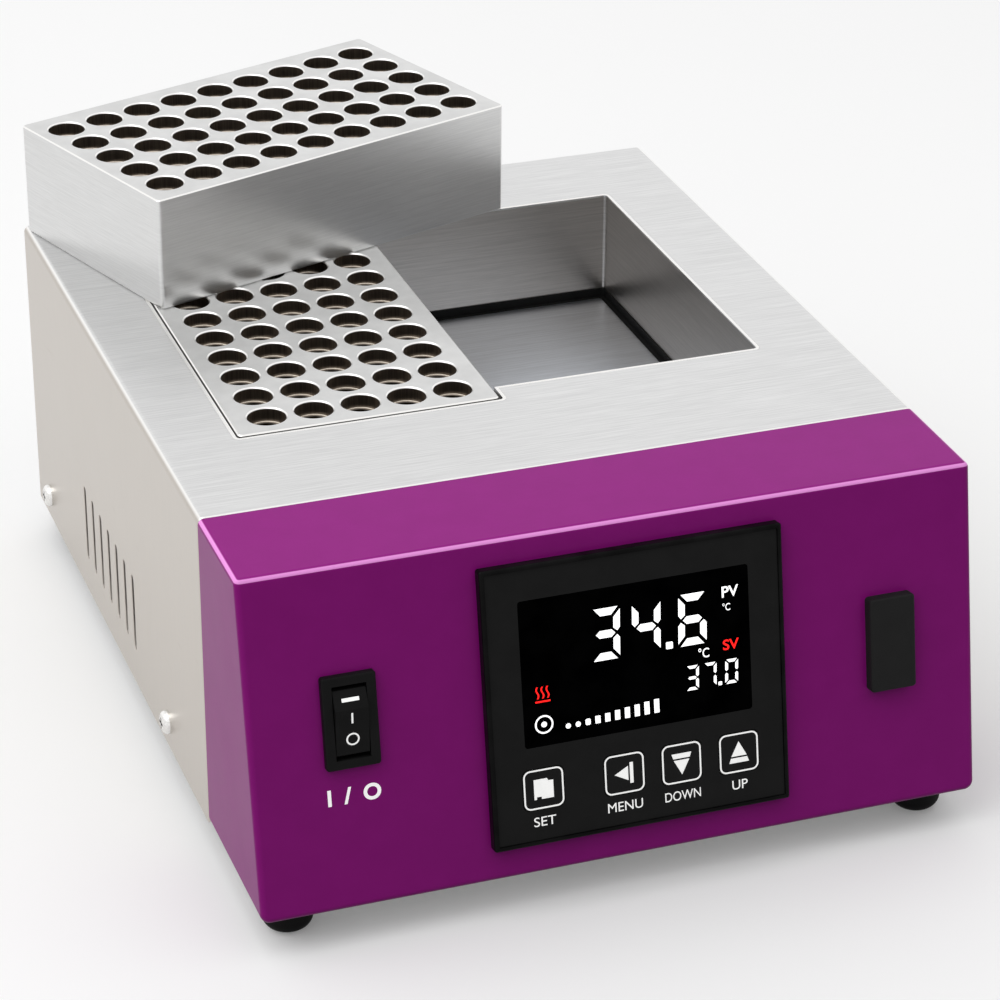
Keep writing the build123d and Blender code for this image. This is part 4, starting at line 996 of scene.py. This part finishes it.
@dataclass
class ControllerDisplay:
    """The controller's frame, face and window, and the marks that are lit in the window."""

    face: LeaningFace
    bench: Workbench
    lift: float = 0.02
    reading: Sequence[tuple[str, float]] = (("3", 34.0), ("4", 47.1), ("6", 62.1))
    reading_up: float = 55.75
    setting: Sequence[tuple[str, float]] = (("3", 64.0), ("7", 69.8), ("0", 76.9))
    setting_up: float = 41.2
    bar_heights: Sequence[float] = (1.65, 1.7, 2.05, 2.4, 2.7, 3.1, 3.45, 3.75, 4.1, 4.4)
    bar_start: float = 25.55
    bar_pitch: float = 3.19
    bar_width: float = 1.65
    bar_foot: float = 36.0

    def show(self, piece: bpy.types.Object, across: float, up: float, role: Role = Role.LIT_WHITE) -> None:
        """Settles a lit mark on the window.

        Args:
            piece: the mark.
            across: its place from the controller's left side, in millimetres.
            up: its place from the controller's lower side, in millimetres.
            role: the finish it is lit in.
        """
        place = self.face.on_controller(across, up, self.face.face_out + self.lift)
        self.bench.settle(piece, place, "root", role.value, "display_glass")

    def figures(self, name: str, kit: SevenSegments, row: Sequence[tuple[str, float]], up: float) -> None:
        """Shows a row of figures, one piece each.

        Args:
            name: the start of the pieces' names.
            kit: the sizes of the figures.
            row: each figure and its place from the controller's left side.
            up: the row's place from the controller's lower side.
        """
        for figure, across in row:
            made = kit.figure(figure)
            made.name = name + "_" + figure
            self.bench.thicken(made)
            self.show(made, across, up)

    def dot(self, name: str, size: float, across: float, up: float) -> None:
        """Shows a square point with rounded corners."""
        made = self.bench.plane(name, size, size)
        self.bench.round_corners(made, size * 0.16, 3)
        self.bench.thicken(made)
        self.show(made, across, up)

    def bar_graph(self) -> None:
        """Shows the row of bars that grow to the right; the first ones are round."""
        bars = []
        for index, height in enumerate(self.bar_heights):
            bar = self.bench.plane("bar", self.bar_width, height)
            rounding = (0.8, 0.8, 0.55)[index] if index < 3 else 0.08
            self.bench.round_corners(bar, rounding, 5)
            bars.append(self.bench.move(bar, index * self.bar_pitch, height / 2))
        graph = self.bench.join("display_power_bars", bars)
        self.bench.thicken(graph)
        self.show(graph, self.bar_start, self.bar_foot)

    def ring_mark(self) -> None:
        """Shows the ring with a dot in it."""
        ring = self.bench.disc("ring", 2.95)
        self.bench.hollow(ring, 0.52)
        mark = self.bench.join("display_ring_mark", [ring, self.bench.disc("ring_dot", 0.9, 24)])
        self.bench.thicken(mark)
        self.show(mark, 17.9, 38.7)

    def heat_mark(self) -> None:
        """Shows three rising waves over a bar."""
        first = self.bench.plane("wave", 0.5, 3.8, 12)
        with self.bench.editing(first):
            for row in range(13):
                up = (row / 12 - 0.5) * 3.8
                sway = 0.34 * sin(2 * pi * row / 12)
                self.bench.shift(first, (sway, 0.0), lambda spot: abs(spot.y - up) < 0.05)
        waves = [first, self.bench.copy(first, "wave"), self.bench.copy(first, "wave")]
        for number, wave in enumerate(waves):
            self.bench.move(wave, (number - 1) * 1.63, 2.85)
        mark = self.bench.join("display_heat_mark", [*waves, self.bench.plane("heat_bar", 4.8, 0.55)])
        self.bench.thicken(mark)
        self.show(mark, 17.9, 46.1, Role.LIT_RED)

    def lettering(self) -> None:
        """Shows the small letters beside the figures."""
        degree = "°C"
        for name, text, width, height, weight, across, up, role in (
            ("display_measured", "PV", 5.4, 3.5, 0.015, 76.8, 69.2, Role.LIT_WHITE),
            ("display_measured_unit", degree, 2.5, 2.4, 0.0, 76.9, 64.9, Role.LIT_WHITE),
            ("display_reading_unit", degree, 3.5, 3.2, 0.004, 68.5, 51.0, Role.LIT_WHITE),
            ("display_wanted", "SV", 5.2, 3.4, 0.015, 76.6, 52.2, Role.LIT_RED),
        ):
            self.show(self.bench.words(name, text, width, height, weight), across, up, role)

    def build(self) -> None:
        """Dresses the controller's front and lights its marks."""
        dress("controller_frame", Role.GLOSS.value)
        dress("controller_face", Role.FACE.value)
        dress("display_window", Role.GLASS.value)
        large = SevenSegments(self.bench, 9.2, 16.55, 2.4, 2.1, 0.74)
        small = SevenSegments(self.bench, 4.2, 7.9, 0.95, 0.9, 0.36)
        self.figures("display_reading", large, self.reading, self.reading_up)
        self.figures("display_setting", small, self.setting, self.setting_up)
        self.dot("display_reading_point", 2.25, 59.2, 56.9)
        self.dot("display_setting_point", 1.2, 75.25, 41.8)
        self.bar_graph()
        self.ring_mark()
        self.heat_mark()
        self.lettering()


@dataclass
class ControllerKeys:
    """The four sprung keys, with the outline and glyph printed on each and the word below it."""

    face: LeaningFace
    bench: Workbench
    key_up_face: float = 18.15
    key_out: float = 3.4
    print_lift: float = 0.01
    outline_size: float = 12.8
    outline_round: float = 2.2
    outline_line: float = 0.5
    word_up: float = 6.05
    word_height: float = 3.05
    words: Mapping[str, tuple[str, float, float]] = field(
        default_factory=lambda: {
            "set": ("SET", 13.05, 7.1),
            "menu": ("MENU", 37.0, 11.4),
            "down": ("DOWN", 55.75, 11.75),
            "up": ("UP", 78.0, 5.1),
        }
    )

    def page_glyph(self) -> bpy.types.Object:
        """Page with one corner stepped at its upper right and one nicked at its lower left."""
        cells = 8
        width, height = 6.25, 6.5
        page = self.bench.plane("page", width, height, cells)
        with self.bench.editing(page):
            self.bench.pick(
                page,
                "faces",
                lambda spot: (spot.x > width / 4 and spot.y > 3 * height / 8)
                or (-3 * width / 8 < spot.x < -width / 8 and spot.y < -3 * height / 8),
            )
            bpy.ops.mesh.delete(type="FACE")
            self.bench.shift(
                page,
                (-width / 16, 0.0),
                lambda spot: abs(spot.x - width / 4) < 0.02 and spot.y > 0.45 * height,
            )
            bpy.ops.mesh.select_all(action="SELECT")
            bpy.ops.mesh.dissolve_limited(angle_limit=0.01)
        return page

    def arrow(self, turn_degrees: float, width: float, height: float) -> bpy.types.Object:
        """Triangle that points up, then turned.

        Args:
            turn_degrees: how far it is turned, counterclockwise.
            width: its base.
            height: its height.

        Returns:
            The triangle, its middle at the origin.
        """
        made = self.bench.plane("arrow", width, height)
        with self.bench.editing(made):
            self.bench.pick(made, "verts", lambda spot: spot.y > 0)
            bpy.ops.mesh.merge(type="CENTER")
        made.data.transform(Matrix.Rotation(radians(turn_degrees), 4, "Z"))
        return made

    def wedge(self, wide: float, narrow: float, height: float, wide_above: bool) -> bpy.types.Object:
        """Bar with slanted ends, its wider side above or below."""
        made = self.bench.plane("wedge", wide, height)
        with self.bench.editing(made):
            for end in (-1, 1):
                self.bench.shift(
                    made,
                    (-end * (wide - narrow) / 2, 0.0),
                    lambda spot: spot.x * end > 0 and (spot.y < 0) == wide_above,
                )
        return made

    def glyph(self, key: str) -> list[bpy.types.Object]:
        """Shapes of one key's glyph about the key's middle."""
        if key == "set":
            return [self.page_glyph()]
        if key == "menu":
            arrow = self.bench.move(self.arrow(90.0, 4.7, 4.4), -1.0, 0.0)
            return [arrow, self.bench.move(self.bench.plane("stop", 1.1, 6.8), 2.3, 0.0)]
        pointing_up = key == "up"
        side = -1 if pointing_up else 1
        arrow = self.arrow(0.0 if pointing_up else 180.0, 5.1, 4.8)
        bar = self.wedge(6.5, 5.4, 1.6, not pointing_up)
        return [self.bench.move(arrow, 0.0, -side * 1.3), self.bench.move(bar, 0.0, side * 2.45)]

    def build(self) -> None:
        """Dresses the keys and prints on them."""
        outline = self.bench.plane("key_outline", self.outline_size, self.outline_size)
        self.bench.round_corners(outline, self.outline_round)
        self.bench.hollow(outline, self.outline_line)
        self.bench.thicken(outline)
        for key, (word, word_across, word_width) in self.words.items():
            node = "key_" + key
            dress(node, Role.KEY.value)
            low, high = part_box(node)
            across = (low.x + high.x) / 2 / MM - self.face.controller_x + self.face.controller_width / 2
            place = self.face.on_controller(across, self.key_up_face, self.key_out + self.print_lift)
            mark = self.bench.join(node + "_glyph", self.glyph(key))
            self.bench.thicken(mark)
            self.bench.settle(mark, place, node, Role.INK_WHITE_SELF_LIT.value, "key_grey")
            ring = self.bench.copy(outline, node + "_outline")
            self.bench.settle(ring, place, node, Role.INK_WHITE_SELF_LIT.value, "key_grey")
            legend = self.bench.words(node + "_word", word, word_width, self.word_height)
            foot = self.face.on_controller(word_across, self.word_up, self.face.face_out + self.print_lift)
            self.bench.settle(legend, foot, "root", Role.INK_WHITE_SELF_LIT.value, "face_black")
        self.bench.take(outline)
        bpy.ops.object.delete()


@dataclass
class PowerSwitch:
    """Rocker switch: its frame, its rocker with three marks, and the legend below it."""

    face: LeaningFace
    bench: Workbench
    switch_x: float = -86.2
    switch_rise: float = 6.4
    face_length: float = 109.23
    pivot_depth: float = 3.0
    rest_tilt: float = 8.0
    rocker_front: float = 6.4
    ridge: float = 5.4
    rocker_end: float = 10.8
    end_front: float = 3.4
    legend: str = "I  /  O"

    def on_rocker(self, along: float, out: float, facet_degrees: float = 0.0) -> Matrix:
        """Place on the rocker, measured from its pivot.

        Args:
            along: millimetres up the rocker.
            out: millimetres out of it.
            facet_degrees: how far the facet there is turned back.

        Returns:
            The place as a matrix in metres.
        """
        up = self.face_length / 2 + self.switch_rise
        pivot = self.face.at(self.switch_x, up, -self.pivot_depth)
        tilt = Matrix.Rotation(radians(self.rest_tilt), 4, "X")
        facet = Matrix.Rotation(radians(facet_degrees), 4, "X")
        return pivot @ tilt @ Matrix.Translation((0.0, along * MM, out * MM)) @ facet

    def build(self) -> None:
        """Dresses the switch and prints its marks."""
        dress("switch_body", Role.SATIN.value)
        dress("switch_rocker", Role.SATIN.value)
        fall = self.rocker_front - self.end_front
        run = self.rocker_end - self.ridge
        slope = -Vector((run, fall)).angle_signed(Vector((1, 0)))
        facet = self.on_rocker((self.ridge + self.rocker_end) / 2, (self.rocker_front + self.end_front) / 2)
        facet = facet @ Matrix.Rotation(-abs(slope), 4, "X")
        dash = self.bench.plane("rocker_dash", 5.4, 1.15)
        line = self.bench.plane("rocker_line", 0.55, 3.4)
        ring = self.bench.disc("rocker_ring", 2.05, 48)
        self.bench.hollow(ring, 0.5)
        for mark, place in (
            (dash, facet @ Matrix.Translation((0.0, 0.0, 0.01 * MM))),
            (line, self.on_rocker(2.6, self.rocker_front + 0.01)),
            (ring, self.on_rocker(-4.4, self.rocker_front + 0.01)),
        ):
            self.bench.thicken(mark)
            self.bench.settle(mark, place, "switch_rocker", Role.INK_WHITE_SELF_LIT.value, "gloss_black")
        words = self.bench.words("switch_legend", self.legend, 16.6, 5.3, 0.03)
        foot = self.face.at(self.switch_x - 8.3, self.face_length / 2 + self.switch_rise - 26.6, 0.0)
        self.bench.settle(words, foot, "root", Role.INK_WHITE_SELF_LIT.value, "purple_plastic")


@dataclass
class Studio:
    """Floor, soft light and the camera at the photograph's viewing angle."""

    lens: float = 126.11
    azimuth: float = 19.57
    elevation: float = 27.46
    camera_x: float = -0.34187
    camera_before_front: float = 0.84038
    camera_z: float = 0.60657
    roll: float = 0.30
    floor_size: float = 8.0
    floor_glow: float = 0.14
    bounce: float = 0.3
    key_power: float = 9.0
    key_size: float = 1.6

    def camera(self, face: LeaningFace) -> None:
        """Places the camera.

        Args:
            face: the control face, whose foot the camera is measured from.
        """
        turned, raised = radians(self.azimuth), radians(self.elevation)
        ahead = Vector((sin(turned) * cos(raised), cos(turned) * cos(raised), -sin(raised)))
        spot = Vector((self.camera_x, face.foot.y - self.camera_before_front, self.camera_z))
        bpy.ops.object.camera_add(location=spot)
        camera = bpy.context.object
        camera.name = "camera"
        camera.data.lens = self.lens
        camera.data.sensor_width = 36.0
        camera.data.clip_start = 0.05
        looking = ahead.to_track_quat("-Z", "Y").to_matrix()
        camera.rotation_euler = (looking @ Matrix.Rotation(radians(self.roll), 3, "Z")).to_euler()
        bpy.context.scene.camera = camera

    def looked_at(self, board: Board) -> Wire:
        """1 where a camera, glossy or transmission ray looks, otherwise 0."""
        path = board.node("ShaderNodeLightPath")
        looks = [Wire(board, path.outputs[name]) for name in ("Is Camera Ray", "Is Glossy Ray", "Is Transmission Ray")]
        return board.math("MAXIMUM", board.math("MAXIMUM", looks[0], looks[1]), looks[2])

    def floor(self) -> None:
        """Lays the pale floor, which stays white outside the object's shadow."""
        bpy.ops.object.select_all(action="DESELECT")
        bpy.ops.mesh.primitive_plane_add(size=self.floor_size, location=(0, 0, 0))
        floor = bpy.context.object
        floor.name = "studio_floor"
        material = bpy.data.materials.new("studio_floor")
        material.use_nodes = True
        board = Board(material.node_tree)
        looked = self.looked_at(board)
        cloud = board.noise([axis / 0.4 for axis in board.place()], 2.0)
        pale = board.blend(cloud, (0.80, 0.80, 0.80), (0.82, 0.82, 0.82))
        lit = board.wire(
            "ShaderNodeBsdfPrincipled",
            None,
            {
                "Base Color": board.blend(looked, (self.bounce, self.bounce, self.bounce), pale),
                "Roughness": 0.9,
                "Specular IOR Level": 0.0,
            },
        )
        glow = board.wire("ShaderNodeEmission", None, {"Color": (1, 1, 1, 1), "Strength": self.floor_glow})
        both = board.wire("ShaderNodeAddShader", None, {0: lit, 1: glow})
        shader = board.wire("ShaderNodeMixShader", None, {0: looked, 1: lit, 2: both})
        board.node("ShaderNodeOutputMaterial", None, {"Surface": shader})
        floor.data.materials.append(material)

    def sky(self) -> None:
        """Lights the room: a bright ceiling, dim walls, and white where the camera looks."""
        world = bpy.data.worlds.new("studio")
        bpy.context.scene.world = world
        world.use_nodes = True
        board = Board(world.node_tree)
        toward = board.wire("ShaderNodeTexCoord", output="Generated")
        parted = board.node("ShaderNodeSeparateXYZ", None, {0: toward})
        x, y, z = (Wire(board, parted.outputs[axis]) for axis in range(3))
        ceiling = z.rising(0.3, 0.8)
        behind = y.rising(0.0, 0.8)
        left = (0.0 - x).rising(0.0, 0.9)
        level = 0.10 + 0.25 * behind + 0.45 * left + 0.85 * ceiling
        looked = self.looked_at(board)
        strength = looked + (1.0 - looked) * level
        shader = board.wire("ShaderNodeBackground", None, {"Color": (1, 1, 1, 1), "Strength": strength})
        board.node("ShaderNodeOutputWorld", None, {"Surface": shader})

    def softbox(self, name: str, spot: Sequence[float], aim: Sequence[float], size: float, power: float) -> None:
        """Hangs a square soft light.

        Args:
            name: the light's name.
            spot: where it hangs, in metres.
            aim: the point that it faces.
            size: its side, in metres.
            power: its power in watts.
        """
        bpy.ops.object.light_add(type="AREA", location=spot)
        light = bpy.context.object
        light.name = name
        light.data.size = size
        light.data.energy = power
        light.rotation_euler = (Vector(aim) - Vector(spot)).to_track_quat("-Z", "Y").to_euler()

    def build(self, face: LeaningFace) -> None:
        """Sets up the view, the floor and the lights."""
        bpy.context.scene.view_settings.view_transform = "Standard"
        self.camera(face)
        self.floor()
        self.sky()
        self.softbox("key_light", (-0.9, -0.1, 1.7), (0.0, 0.0, 0.1), self.key_size, self.key_power)


def main() -> None:
    """Builds the sub-assemblies in order."""
    logging.basicConfig(level=logging.INFO, format="%(name)s: %(message)s")
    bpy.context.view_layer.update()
    face = LeaningFace()
    bench = Workbench(thickness=0.05)
    Housing().build()
    HeatingWell().build()
    InnerParts().build()
    ControllerDisplay(face, bench).build()
    ControllerKeys(face, bench).build()
    PowerSwitch(face, bench).build()
    Studio().build(face)


if __name__ == "__main__":
    main()
